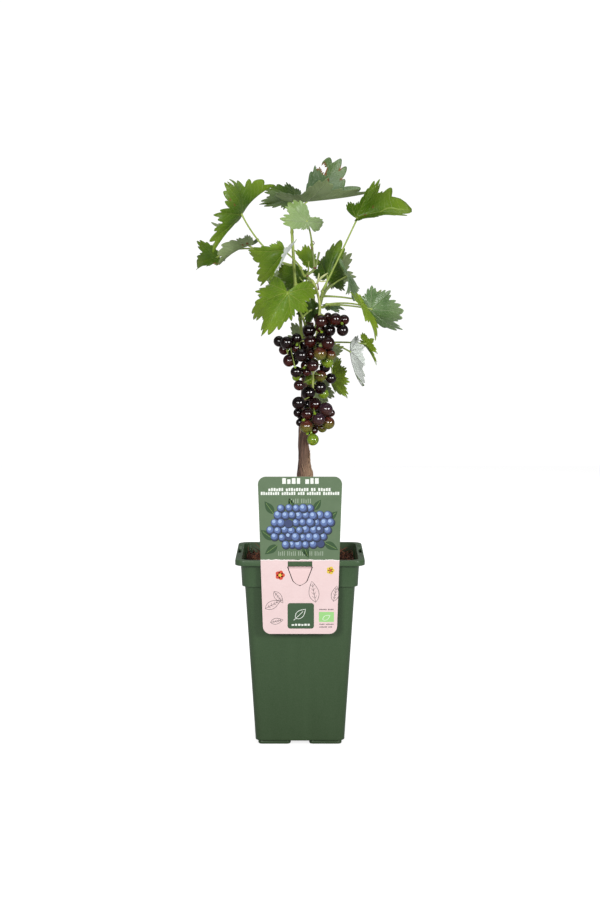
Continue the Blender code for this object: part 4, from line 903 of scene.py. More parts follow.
joint_bm = bmesh.new()
for x, z, size in ((0.0076, 0.5469, 0.0019), (0.0117, 0.5399, 0.0018), (0.0176, 0.513, 0.0024),
                   (0.0176, 0.5562, 0.0017)):
    add_ball(joint_bm, size, (x, -0.0012, z), (1.25, 1, 0.8))
TENDRIL = [(0.0146, 0.5772), (0.0129, 0.5819), (0.0131, 0.5859), (0.0152, 0.5874),
           (0.0167, 0.5848), (0.0154, 0.583)]
STUB = [(0.0217, 0.5306), (0.0205, 0.54)]
for curve, thick, thin in ((TENDRIL, 0.0007, 0.0004), (STUB, 0.0009, 0.0006)):
    add_limb(joint_bm, shoot([(x, -0.003, z) for x, z in curve], thick, thin), 0.0008, 10)
add_piece("shoot_joints", joint_bm, [joint_brown], "shoot_middle")

side_stem_bm = bmesh.new()
for rows in ([(0.0176, 0.0, 0.554, 0.0013), (0.0205, 0.0, 0.566, 0.0012), (0.0226, 0.0, 0.5749, 0.0013)],
             [(0.024, -0.003, 0.519, 0.0013), (0.03, 0.001, 0.53, 0.0012), (0.0388, 0.005, 0.5375, 0.001)]):
    add_limb(side_stem_bm, rows, 0.0012, 14)
add_piece("shoot_side_stems", side_stem_bm, [woody_stem], "shoot_right")

young_bm = bmesh.new()
for rows in ([(0.018, -0.003, 0.5375, 0.0008), (0.0199, -0.004, 0.5388, 0.001),
              (0.0245, -0.006, 0.5446, 0.0013), (0.029, -0.007, 0.548, 0.0011),
              (0.0327, -0.008, 0.5505, 0.0005)],
             [(0.0199, -0.004, 0.5388, 0.0008), (0.0216, -0.004, 0.545, 0.0011),
              (0.0222, -0.004, 0.5504, 0.0005)],
             [(0.022, -0.005, 0.541, 0.0007), (0.0262, -0.006, 0.5406, 0.001),
              (0.0304, -0.006, 0.5411, 0.0005)]):
    add_limb(young_bm, rows, 0.0008, 12)
young_tip = green_stem("young_tip_cream", (206, 208, 160), (170, 180, 110), 0.6)
add_piece("shoot_young_tip", young_bm, [young_tip], "shoot_middle")


# Each leaf is a thin lobed blade, cut into coarse teeth, glossy above and dull below. It hangs on
# a long green stalk, five main veins spread from the stalk's end, and the blade bulges a little
# between them. The stalks of one mass fork from the end of a single stem.

LEAF_SEGMENTS = 240
LEAF_RINGS = 18
LEAF_THICKNESS = 0.00036
TOOTH_STEP = 12
TOOTH_DEPTH = 0.14
TOOTH_LEAN = 0.15
LOBE_DIP = 0.55
LOBE_STEP = 48
LOBE_WIDTHS = (40, 38, 40, 44)
RUNG_SPACING = 0.125
BLADE_CUP = 0.12
BLADE_WAVE = 0.04
BLADE_PUFF = 0.035
STALK_RADIUS = 0.0011
STALK_STEPS = 14
STEM_RADIUS = 0.0016
KNOT_RADIUS = 0.0021
LIMB_MARGIN = 0.004
LOBE_TURNS = range(-144, 145, 24)


def leaf(junction, clock, lean, roll, length, fold=(0, 0), droop=0, left=(0.88, 0.68, 0.52),
         right=(0.88, 0.68, 0.52), spread=(1.0, 1.0), curls=(0,) * 7, bow=None, tint="mid",
         spots=(), holes=()):
    """One leaf: where its stalk ends, how the blade lies, and which tint it has.

    clock turns the midrib in the front view, 0 to the right and 90 up, lean brings it forward,
    and roll turns the blade about it, 0 with the upper face to the front. fold lifts the left and
    right halves, droop bends the midrib down, left and right are the lengths of the side lobes
    as shares of the midrib, and bow shifts the middle of the stalk. curls lifts the seven lobe
    tips off the flat, from one side of the stalk round to the other. spots and holes are scorched
    and torn places, each by its angle, its share of the way out and its size.
    """
    return {"junction": Vector(junction), "clock": clock, "lean": lean, "roll": roll,
            "length": length, "fold": fold, "droop": droop, "left": left, "right": right,
            "spread": spread, "curls": curls, "bow": bow, "tint": tint,
            "spots": spots, "holes": holes}


def blade_frame(one):
    """Headings of the midrib, of the left half and out of the upper face."""
    clock, lean, roll = (radians(one[key]) for key in ("clock", "lean", "roll"))
    along = Vector((cos(lean) * cos(clock), -sin(lean), cos(lean) * sin(clock)))
    front = Vector((0, -1, 0))
    facing = (front - along * front.dot(along)).normalized()
    upper = facing * cos(roll) + facing.cross(along) * sin(roll)
    return along, upper.cross(along), upper


def lobed_radius(turn, sides):
    """Reach of the smooth five-lobed outline at an angle from the midrib."""
    lengths = (1.0, *sides[0 if turn >= 0 else 1])
    reach = 0
    for number, (width, length) in enumerate(zip(LOBE_WIDTHS, lengths)):
        off = abs(abs(turn) - number * LOBE_STEP) / width
        reach = max(reach, length * (1 - LOBE_DIP * off ** 1.3))
    opening = min(1, max(0, (180 - abs(turn)) / 16))
    return reach * (0.08 + 0.92 * opening ** 0.6)


def toothed_radius(turn, one, number):
    """Reach of the margin: uneven teeth with rounded tips that lean towards the lobe's tip."""
    beat = turn / TOOTH_STEP + 0.5
    middle = (beat // 1) * TOOTH_STEP
    aim = round(middle / LOBE_STEP) * LOBE_STEP - middle
    peak = 0.5 + TOOTH_LEAN * (1 if aim > 6 else -1 if aim < -6 else 0)
    share = beat % 1
    tooth = (peak - share) / peak if share < peak else (share - peak) / (1 - peak)
    size = 0.72 + 0.5 * abs(sin(int(beat // 1) * 2.4 + number))
    ripple = 1 + 0.035 * sin(3 * radians(turn) + number) + 0.025 * sin(7 * radians(turn) + 2.3 * number)
    return (lobed_radius(turn, (one["left"], one["right"])) * ripple
            * (1.02 - TOOTH_DEPTH * size * tooth ** 1.7))


def curl_at(turn, curls):
    """Lift of the blade at an angle from the midrib, between the curls of its seven lobe tips."""
    seam = (curls[0] + curls[-1]) / 2
    stops = [(-180, seam), *zip(range(-144, 145, LOBE_STEP), curls), (180, seam)]
    low, high = next(pair for pair in zip(stops, stops[1:]) if turn <= pair[1][0] + 0.01)
    return between(low[1], high[1], (turn - low[0]) / (high[0] - low[0]))


def bent_point(x, y, one, number, curl):
    """Place of a flat blade's point once the blade is folded, drooped, cupped, waved and puffed."""
    reach = hypot(x, y)
    turn = atan2(y, x)
    lift = BLADE_WAVE * reach * reach * sin(5 * turn + number) + (curl - BLADE_CUP) * reach * reach
    swell = abs((degrees(turn) / LOBE_STEP + 0.5) % 1 - 0.5) * 2
    lift += BLADE_PUFF * min(1, reach * 1.6) * swell ** 0.7
    lift += 0.012 * reach ** 4 * sin(17 * turn + 2 * number)
    side = 1 if y >= 0 else -1
    fold = radians(one["fold"][0 if y >= 0 else 1])
    away = abs(y)
    tilt = fold * away / (away + 0.1)
    across = side * (away * cos(tilt) - lift * sin(tilt))
    rise = away * sin(tilt) + lift * cos(tilt)
    bend = radians(one["droop"])
    if abs(bend) < 0.001:
        return x, across, rise
    radius = 1 / bend
    return (radius + rise) * sin(bend * x), across, (radius + rise) * cos(bend * x) - radius


def flat_point(turn, share, one, number):
    """Place on the flat blade at an angle from the midrib and a share of the way to the margin."""
    wide = one["spread"][0 if turn >= 0 else 1]
    reach = share * between(lobed_radius(turn, (one["left"], one["right"])),
                            toothed_radius(turn, one, number), share ** 2)
    return reach * cos(radians(turn * wide)), reach * sin(radians(turn * wide))


def blade_point(turn, share, one, number):
    """Place on the bent blade as it hangs on the plant."""
    along, left, upper = blade_frame(one)
    curl = curl_at(turn, one["curls"])
    x, y, z = bent_point(*flat_point(turn, share, one, number), one, number, curl)
    return one["junction"] + (along * x + left * y + upper * z) * one["length"]


def stalk_route(fork, one):
    """A leaf stalk bows from the fork to the blade, and comes up under it from behind."""
    along, left, upper = blade_frame(one)
    end = one["junction"]
    middle = (fork + end) / 2
    if one["bow"] is None:
        middle -= (upper * 0.22 + along * 0.12) * (end - fork).length
    else:
        middle += Vector(one["bow"])
    end = end + along * 0.0015
    shares = [i / STALK_STEPS for i in range(STALK_STEPS + 1)]
    return [fork * (1 - t) ** 2 + middle * 2 * t * (1 - t) + end * t * t for t in shares]


def clear_of_limbs(one, number):
    """Whether the blade's lobes keep away from the limbs' middles."""
    places = [blade_point(turn, share, one, number) for turn in LOBE_TURNS for share in (0.5, 1.0)]
    for limb in LIMBS:
        for low, high in zip(limb, limb[1:]):
            start, run = Vector(low[:3]), Vector(high[:3]) - Vector(low[:3])
            for place in places:
                t = min(1, max(0, (place - start).dot(run) / run.length_squared))
                if (place - start - run * t).length < low[3] + LIMB_MARGIN:
                    return False
    return True


def inside(one, number, space):
    """Whether the blade's margin keeps within a box."""
    places = [blade_point(turn, 1.0, one, number) for turn in LOBE_TURNS]
    return all(low <= place[i] <= high for i, (low, high) in enumerate(zip(*space)) for place in places)


def sprout(fork, space, count, seed):
    """Leaves of a hidden mass: a seeded fan round the fork, of which the ones that fit are kept."""
    chance = random.Random(seed)
    kept = []
    for attempt in range(60):
        swing = 137.5 * attempt
        far = chance.uniform(0.022, 0.036)
        place = fork + Vector((cos(radians(swing)), chance.uniform(0.2, 0.9), sin(radians(swing)))) * far
        one = leaf(place, swing % 360, -chance.uniform(15, 45), 180 + chance.uniform(-40, 40),
                   chance.uniform(0.026, 0.034), droop=20)
        apart = all((place - other["junction"]).length > 0.034 for other in kept)
        if apart and inside(one, attempt, space) and clear_of_limbs(one, attempt):
            kept.append(one)
        if len(kept) == count:
            break
    return kept


MASSES = [
    {"name": "foliage_top", "root": tip_stem(SHOOT_LEFT), "fork": (-0.008, 0.006, 0.625), "leaves": [
        leaf((0.0069, 0.005, 0.6331), 4.9, 10.1, 97.2, 0.069, fold=(78, 17), droop=-27,
             left=(1.15, 0.25, 0.23), right=(0.86, 0.44, 0.59), spread=(0.94, 1.01),
             curls=(0.19, -0.07, 0.17, -0.13, -0.09, 0.35, -0.17), tint="gloss",
             spots=((42, 0.97, 0.035), (30, 1.0, 0.03), (-46, 1.0, 0.03)),
             holes=((62, 0.78, 0.075), (70, 0.9, 0.045))),
        leaf((-0.0049, 0.0516, 0.6379), 190.0, 20.2, -36.9, 0.0436, fold=(58, 10), droop=23,
             left=(0.71, 0.56, 0.38), right=(0.96, 0.59, 0.45), spread=(0.86, 0.85),
             curls=(-0.58, -0.01, 0.0, 0.32, -0.25, -0.01, 0.08), tint="deep"),
        leaf((0.031, 0.045, 0.646), 90, -50, 180, 0.03, droop=10)]},
    {"name": "foliage_upper_left", "root": leave_limb(SHOOT_LEFT, 0.56, (-1, 0.1, 0.1)),
     "fork": (-0.0225, 0.004, 0.563), "leaves": [
        leaf((-0.0675, -0.036, 0.6177), 83.3, 51.2, -68.6, 0.051, fold=(-16, -10), droop=55,
             left=(0.77, 1.08, 0.85), right=(0.84, 1.19, 0.54), spread=(1.09, 0.97),
             curls=(-0.25, 0.42, -0.47, 0.09, -0.24, 0.23, -0.41),
             bow=(-0.006, -0.004, -0.006), tint="mid",
             spots=((18, 0.6, 0.026), (6, 0.45, 0.02), (14, 0.75, 0.024))),
        leaf((-0.0587, 0.0193, 0.5824), 193.2, -13.2, -107.6, 0.044, fold=(42, 54), droop=2,
             left=(0.42, 0.4, 0.18), right=(0.74, 0.35, 0.41), spread=(1.01, 0.8),
             curls=(-0.12, -0.08, -0.13, -0.17, 0.21, 0.09, 0.07),
             bow=(0.0, 0.004, -0.002), tint="deep",
             spots=((66, 0.35, 0.035), (26, 0.3, 0.026))),
        leaf((-0.0974, 0.0357, 0.5687), 192.1, -10.6, -0.9, 0.0347, fold=(67, 14), droop=15,
             left=(0.5, 0.49, 0.32), right=(0.92, 0.27, 0.32), spread=(0.92, 0.92),
             curls=(-0.02, 0.03, -0.21, -0.27, 0.12, 0.02, -0.15),
             bow=(0.0, 0.008, 0.026), tint="mid",
             spots=((102, 0.85, 0.05), (78, 1.0, 0.05), (118, 1.0, 0.05)))]},
    {"name": "foliage_left", "root": leave_limb(SHOOT_MIDDLE, 0.5475, (-0.8, -0.55, 0.2)),
     "fork": (0.001, -0.012, 0.556), "leaves": [
        leaf((-0.0173, -0.037, 0.5767), 234.8, 7.9, 11.8, 0.0551, fold=(115, -14), droop=66,
             left=(0.68, 0.62, 0.34), right=(0.98, 0.34, 0.27), spread=(0.9, 0.74),
             curls=(-0.1, 0.0, -0.11, 0.06, -0.08, 0.18, 0.1),
             bow=(0.001, -0.002, 0.002), tint="lined")]},
    {"name": "foliage_back_left", "root": leave_limb(SHOOT_MIDDLE, 0.535, (-0.2, 1, 0.1)),
     "fork": (0.006, 0.026, 0.536), "leaves": [
        leaf((0.0106, 0.0432, 0.5622), 103.6, -7.8, 8.6, 0.0223, fold=(65, 1), droop=15,
             left=(1.03, 0.49, 0.35), right=(0.62, 0.6, 0.41), spread=(0.92, 1.09),
             curls=(0.0, 0.09, 0.05, 0.1, -0.06, -0.02, 0.01), tint="fresh"),
        leaf((0.0005, 0.0333, 0.5442), 164.2, 0.3, -10.8, 0.034, fold=(-26, 4), droop=-42,
             left=(0.66, 0.29, 0.16), right=(0.52, 0.38, 0.27), spread=(1.06, 1.12),
             curls=(0.0, -0.02, 0.11, 0.31, -0.05, -0.05, 0.02), tint="mid"),
        leaf((-0.016, 0.058, 0.535), 210, -32, 155, 0.04, droop=20)]},
    {"name": "foliage_centre", "root": tip_stem(SHOOT_MIDDLE), "fork": (0.0138, -0.003, 0.583), "leaves": [
        # This leaf's tint is lighter with a painted sheen.
        leaf((0.0084, -0.04, 0.6098), 132.8, 21.6, -6.2, 0.0349, fold=(27, 7), droop=46,
             left=(0.92, 0.38, 0.29), right=(0.24, 0.23, 0.79), spread=(0.96, 1.1),
             curls=(-0.19, 0.02, 0.04, -0.03, 0.13, 0.03, -0.02),
             bow=(0.002, -0.004, 0.0), tint="sheen")]},
    {"name": "foliage_front", "root": leave_limb(TRUNK, 0.489, (-0.55, -0.8, 0.15)),
     "fork": (0.003, -0.015, 0.499), "leaves": [
        leaf((-0.0147, -0.052, 0.528), 234.3, 18.4, -12.1, 0.0597, fold=(-41, -33), droop=29,
             left=(0.53, 0.61, 0.75), right=(1.06, 0.73, 0.67), spread=(0.96, 0.74),
             curls=(-0.04, 0.03, -0.22, 0.02, 0.05, -0.01, -0.02), tint="fresh"),
        leaf((0.015, -0.013, 0.508), 196, 5, 10, 0.02, bow=(0.0, -0.001, 0.002), tint="deep")]},
    {"name": "foliage_upper_right", "root": tip_stem(SHOOT_RIGHT),
     "fork": (0.0262, -0.004, 0.529), "leaves": [
        leaf((0.0651, -0.03, 0.6135), 21.7, -12.7, 38.7, 0.0563, fold=(95, 47), droop=-18,
             left=(0.99, 0.38, 0.47), right=(0.5, 0.22, 0.15), spread=(0.74, 0.83),
             curls=(0.0, 0.04, -0.18, -0.45, 0.01, -0.09, 0.0),
             bow=(0.001, -0.002, 0.0), tint="mid",
             spots=((14, 0.5, 0.02), (2, 0.2, 0.014)))]},
    {"name": "foliage_right", "root": leave_limb(SHOOT_RIGHT, 0.511, (0.85, -0.5, 0.05)),
     "fork": (0.031, -0.008, 0.5135), "leaves": [
        leaf((0.0826, -0.02, 0.5085), 354.1, 17.1, 12.0, 0.0444, fold=(5, -55), droop=-28,
             left=(0.72, 0.6, 0.47), right=(0.93, 0.31, 0.18), spread=(1.02, 0.92),
             curls=(-0.02, -0.15, 0.06, 0.18, 0.06, -0.05, -0.03),
             bow=(0.0, 0.0, 0.003), tint="blue"),
        leaf((0.0713, -0.026, 0.5142), 304, 12, 76, 0.046, fold=(14, 10), droop=12,
             left=(0.72, 0.6, 0.45), right=(0.72, 0.6, 0.45), bow=(0.0, 0.002, 0.004), tint="bright"),
        leaf((0.034, 0.014, 0.511), 355, 0, 72, 0.02, bow=(-0.002, 0.0, 0.001), tint="blue")]},
    {"name": "foliage_back_right", "root": leave_limb(SHOOT_RIGHT, 0.515, (0.25, 0.95, 0.15)),
     "fork": (0.027, 0.016, 0.523), "leaves": [
        leaf((0.0323, 0.0332, 0.5462), 79.8, -0.1, 33.0, 0.0464, fold=(-18, -74), droop=55,
             left=(0.69, 0.58, 0.19), right=(0.79, 0.7, 0.73), spread=(0.89, 0.83),
             curls=(-0.1, -0.11, -0.25, 0.34, -0.03, 0.15, 0.16), tint="mid"),
        leaf((0.056, 0.0219, 0.5481), 298.6, 5.0, 59.9, 0.0324, fold=(-22, 28), droop=15,
             left=(1.03, 0.8, 0.73), right=(0.96, 0.44, 0.23), spread=(1.08, 1.01),
             curls=(-0.32, 0.27, -0.22, -0.04, 0.21, -0.18, 0.14), tint="blue"),
        leaf((0.038, 0.062, 0.548), 50, -35, 165, 0.036, droop=20),
        leaf((0.088, 0.044, 0.513), 352, -35, 200, 0.028, droop=10)]},
    {"name": "foliage_lower_right", "root": leave_limb(TRUNK, 0.462, (0.6, 0.8, 0.1)),
     "fork": (0.033, 0.014, 0.468), "leaves": [
        leaf((0.0596, -0.005, 0.4593), 271.3, 7.9, 145.7, 0.0449, fold=(94, -4), droop=-17,
             left=(0.78, 0.58, 0.47), right=(0.59, 0.45, 0.42), spread=(0.91, 1.04),
             curls=(0.07, 0.07, -0.02, 0.47, 0.13, -0.04, 0.24),
             bow=(0.0, 0.0, 0.002), tint="silver"),
        leaf((0.0777, 0.0122, 0.4675), 317.4, 34.0, -4.4, 0.0184, fold=(12, -70), droop=-36,
             left=(0.75, 0.38, 0.75), right=(1.35, 0.69, 0.59), spread=(1.05, 1.02),
             curls=(0.07, -0.2, 0.2, -0.26, 0.21, -0.04, 0.02),
             bow=(0.0, 0.002, 0.002), tint="bright"),
        leaf((0.0381, 0.024, 0.4269), 300.8, 23.8, -13.7, 0.0314, fold=(17, -61), droop=2,
             left=(0.8, 0.82, 0.78), right=(0.65, 0.32, 0.31), spread=(0.84, 0.94),
             curls=(0.06, -0.11, 0.06, -0.17, 0.02, 0.19, -0.17), tint="bright")]},
    {"name": "foliage_back", "root": leave_limb(TRUNK, 0.43, (-0.1, 1, 0.15)),
     "fork": (0.008, 0.03, 0.44), "leaves": sprout(
        Vector((0.008, 0.03, 0.44)), ((-0.02, 0.026, 0.375), (0.052, 0.098, 0.502)), 3, 32)},
]


def vein_group():
    """Vein pattern of a vine leaf, read from the flat leaf: main veins, side veins and a fine net."""
    outputs = ("Main", "Side", "Net", "Margin")
    group, given, shown = start_group("vine_leaf_veins", (("Place", "Vector"),), outputs)

    def calc(operation, *values):
        return maths(group, operation, *values)

    def vectors(operation, first, second):
        inputs = {0: first, "Scale" if operation == "SCALE" else 1: second}
        return add_node(group, "VectorMath", inputs, operation=operation).outputs[0]

    def line(distance, near, far):
        """1 on a line and 0 away from it."""
        return ramp(group, distance, near, far, "SMOOTHSTEP", (1.0, 0.0))

    shake = add_node(group, "TexNoise", {"Scale": 7.0, "Detail": 1.0, "Vector": given["Place"]})
    off = vectors("SCALE", vectors("SUBTRACT", shake.outputs["Color"], (0.5, 0.5, 0.5)), 0.022)
    centred = vectors("SUBTRACT", vectors("ADD", given["Place"], off), (0.5, 0.5, 0.0))
    full = vectors("SCALE", centred, 3.0)
    axes = add_node(group, "SeparateXYZ", {0: full}).outputs
    x, y = axes["X"], axes["Y"]
    reach = calc("SQRT", calc("ADD", calc("MULTIPLY", x, x), calc("MULTIPLY", y, y)))
    near_axis = calc("PINGPONG", calc("ARCTAN2", y, x), radians(LOBE_STEP / 2))
    along = calc("MULTIPLY", reach, calc("COSINE", near_axis))
    aside = calc("MULTIPLY", reach, calc("SINE", near_axis))
    rung = calc("SUBTRACT", along, calc("MULTIPLY", aside, 1.15))
    rung_off = calc("PINGPONG", rung, RUNG_SPACING / 2)
    net = add_node(group, "TexVoronoi", {"Scale": 26.0, "Vector": full}, feature="DISTANCE_TO_EDGE")
    for name, value in (
            ("Main", line(aside, 0.0, calc("MULTIPLY_ADD", along, -0.007, 0.011))),
            ("Side", calc("MULTIPLY", line(rung_off, 0.0, 0.0075), line(reach, 1.0, 1.4))),
            ("Net", line(net.outputs["Distance"], 0.0, 0.09)),
            ("Margin", calc("SUBTRACT", 1.0, line(reach, 0.35, 1.05)))):
        group.links.new(value, shown[name])
    return group


VEINS = vein_group()


def leaf_skin(name, skin, dark, margin, vein, roughness, relief, shine):
    """One side of a blade: darker by the stalk, paler at the margin, and veined in colour and relief."""
    finish, tree, shader = start_material("leaf_" + name, skin, roughness)
    flat = add_node(tree, "UVMap", uv_map="leaf_plan").outputs["UV"]
    veins = add_node(tree, "Group", {"Place": flat}, node_tree=VEINS).outputs
    shown = blend_colours(tree, mottle(tree, 60.0, 2.4)[0], 1, dark, skin)
    for part, share, colour in (("Margin", 0.75, margin), ("Net", 0.2, vein), ("Side", 0.55, vein),
                                ("Main", 0.9, vein)):
        shown = blend_colours(tree, veins[part], share, shown, colour)
    thick = maths(tree, "MULTIPLY_ADD", veins["Side"], 0.45, veins["Main"])
    finer = maths(tree, "MULTIPLY_ADD", veins["Net"], 0.2, thick)
    signed = maths(tree, "MULTIPLY", finer, -1.0 if relief > 0 else 1.0)
    surface(tree, shader, shown, signed, abs(relief), 0.0012)
    shader.inputs["Specular IOR Level"].default_value = shine
    return finish


# Each side's skin: its colour, the darker one by the stalk, the margin and the veins, then its
# roughness, relief and shine
SKINS = {name: leaf_skin(name, *look) for name, *look in (
    # The upper greens from bright down to deep are partly the leaves' own ages and partly painted light:
    # bright and fresh carry a painted glow of light through the blade, deep carries painted shade.
    ("upper_bright", (132, 160, 34), (108, 140, 18), (150, 174, 52), (176, 192, 96), 0.38, 0.7, 0.3),
    ("upper_fresh", (104, 136, 20), (78, 112, 8), (128, 152, 34), (160, 180, 80), 0.34, 0.7, 0.3),
    ("upper_mid", (76, 108, 14), (52, 86, 6), (110, 136, 28), (136, 158, 68), 0.3, 0.7, 0.3),
    ("upper_deep", (58, 86, 18), (38, 64, 10), (88, 114, 24), (118, 140, 68), 0.3, 0.7, 0.3),
    ("upper_gloss", (66, 96, 50), (46, 76, 32), (92, 118, 62), (136, 156, 108), 0.3, 0.7, 0.7),
    ("upper_blue", (102, 134, 80), (64, 98, 46), (142, 164, 118), (180, 194, 156), 0.32, 0.7, 0.6),
    # This skin is lighter and paler than the others: a painted sheen of light on a glossy blade, on top of
    # its real shine.
    ("upper_sheen", (138, 164, 106), (116, 148, 78), (120, 154, 40), (196, 208, 164), 0.32, 0.7, 0.8),
    ("under_dull", (134, 150, 108), (112, 130, 82), (140, 156, 104), (172, 186, 142), 0.62, -0.9, 0.3),
    ("under_silver", (240, 246, 240), (222, 232, 222), (244, 250, 244), (248, 252, 246), 0.6, -0.9, 0.3))}
scorched = crust_finish("leaf_scorched_brown", (94, 58, 22), (126, 88, 36), 0.7)
# A leaf's skins by its tint, above and below
LEAF_TINTS = {"bright": ("bright", "silver"), "fresh": ("fresh", "dull"), "mid": ("mid", "dull"),
              "deep": ("deep", "dull"), "blue": ("blue", "dull"), "gloss": ("gloss", "dull"),
              "silver": ("blue", "silver"), "sheen": ("sheen", "dull"), "lined": ("fresh", "silver")}


def unfold_blade(one, number):
    """A disc of faces shaped into one leaf, with its flat plan kept as a UV map."""
    bm = bmesh.new()
    bmesh.ops.create_circle(bm, cap_ends=True, cap_tris=True, segments=LEAF_SEGMENTS, radius=1.0)
    spokes = [edge for edge in bm.edges if min(vert.co.length for vert in edge.verts) < 0.5]
    bmesh.ops.subdivide_edges(bm, edges=spokes, cuts=LEAF_RINGS - 1)
    plan = bm.loops.layers.uv.new("leaf_plan")
    along, left, upper = blade_frame(one)
    flat = {}
    for vert in bm.verts:
        turn = round(degrees(atan2(-vert.co.x, vert.co.y)), 3)
        x, y = flat_point(turn, vert.co.length, one, number)
        flat[vert] = Vector((x, y))
        u, v, w = bent_point(x, y, one, number, curl_at(turn, one["curls"]))
        vert.co = one["junction"] + (along * u + left * v + upper * w) * one["length"]
    for face in bm.faces:
        for loop in face.loops:
            x, y = flat[loop.vert]
            loop[plan].uv = (0.5 + x / 3, 0.5 + y / 3)
    torn = []
    for places, kind in ((one["spots"], "spot"), (one["holes"], "hole")):
        for turn, share, size in places:
            middle = Vector(flat_point(turn, share, one, number))
            for face in bm.faces:
                centre = sum((flat[vert] for vert in face.verts), Vector((0, 0))) / len(face.verts)
                ragged = size * (1 + 0.5 * noise.noise(Vector((centre.x * 14, centre.y * 14, number))))
                off = (centre - middle).length
                if kind == "hole" and off < ragged:
                    torn.append(face)
                elif off < ragged * (1 if kind == "spot" else 1.35):
                    face.material_index = 2
    bmesh.ops.delete(bm, geom=list(set(torn)), context="FACES")
    bmesh.ops.recalc_face_normals(bm, faces=bm.faces)
    if sum(face.normal.dot(upper) for face in bm.faces) < 0:
        bmesh.ops.reverse_faces(bm, faces=bm.faces)
    return bm


# A stalk swells a little at its fork and more where it meets the blade
STALK_RADII = [STALK_RADIUS * (1 + 0.5 * exp(-i / 1.6) - 0.18 * i / STALK_STEPS
                               + 0.35 * exp((i - STALK_STEPS) / 0.8)) for i in range(STALK_STEPS + 1)]
stalk_finish = green_stem("leaf_stalk_green", (168, 186, 98), (138, 158, 70))
number = 1
for mass in MASSES:
    start, collar = mass["root"]
    fork = Vector(mass["fork"])
    stalk_bm = bmesh.new()
    stem = [start.lerp(collar, share) for share in (0, 0.5)]
    stem += [collar.lerp(fork, share / 6) for share in range(7)]
    radii = [STEM_RADIUS] * 3
    radii += [between(STEM_RADIUS, STALK_RADIUS * 1.15, share / 6) for share in range(1, 7)]
    wrap_tube(stalk_bm, stem, radii, 12)
    add_ball(stalk_bm, KNOT_RADIUS, fork)
    leaves_bm = bmesh.new()
    leaves_bm.loops.layers.uv.new("leaf_plan")
    finishes = []
    for one in mass["leaves"]:
        wrap_tube(stalk_bm, stalk_route(fork, one), STALK_RADII, 12)
        above, below = LEAF_TINTS[one["tint"]]
        own = [SKINS["upper_" + above], SKINS["under_" + below], scorched, scorched]
        mesh = thicken("blade", unfold_blade(one, number), own, LEAF_THICKNESS, rear=1)
        first_slot = len(finishes)
        finishes += own
        slots = [face.material_index + first_slot for face in mesh.polygons]
        mesh.polygons.foreach_set("material_index", slots)
        leaves_bm.from_mesh(mesh)
        bpy.data.meshes.remove(mesh)
        number += 1
    add_piece(mass["name"] + "_leaves", leaves_bm, finishes, mass["name"], turn_out=False)
    add_piece(mass["name"] + "_stalks", stalk_bm, [stalk_finish], mass["name"])


# The bunch hangs in front of the trunk from a green stalk with two shoulders. Its berries ripen
# unevenly: most are black with a thin bloom, some are still red-brown, half turned or green. Each
# has a short green stalk and a small brown scar at its foot.

PEDUNCLE_FOOT, PEDUNCLE_COLLAR = leave_limb(SHOOT_MIDDLE, 0.5405, (0.55, -0.8, 0.15))
RACHIS = [PEDUNCLE_FOOT, PEDUNCLE_COLLAR, (0.02, -0.014, 0.5284), (0.0233, -0.021, 0.5117),
          (0.0221, -0.026, 0.5009), (0.0197, -0.029, 0.4825), (0.0157, -0.029, 0.4501),
          (0.0151, -0.028, 0.4092), (0.0152, -0.027, 0.36)]
SHOULDER_LEFT = [(0.018, -0.029, 0.47), (0.002, -0.032, 0.472), (-0.019, -0.033, 0.466)]
SHOULDER_RIGHT = [(0.0221, -0.026, 0.502), (0.034, -0.028, 0.5), (0.046, -0.029, 0.494)]
BUNCH_BACK = -0.017
BUNCH_FRONT = -0.063
BUNCH_HALF_WIDTHS = (0.026, 0.042)
BUNCH_DEPTH = 0.024
SLIDE_STRIDE = 0.001
SLIDE_STEPS = 55
GAP_TRIALS = 1400
RIM_TURNS = [step * pi / 6 for step in range(12)]
BACK_TRIALS = 600

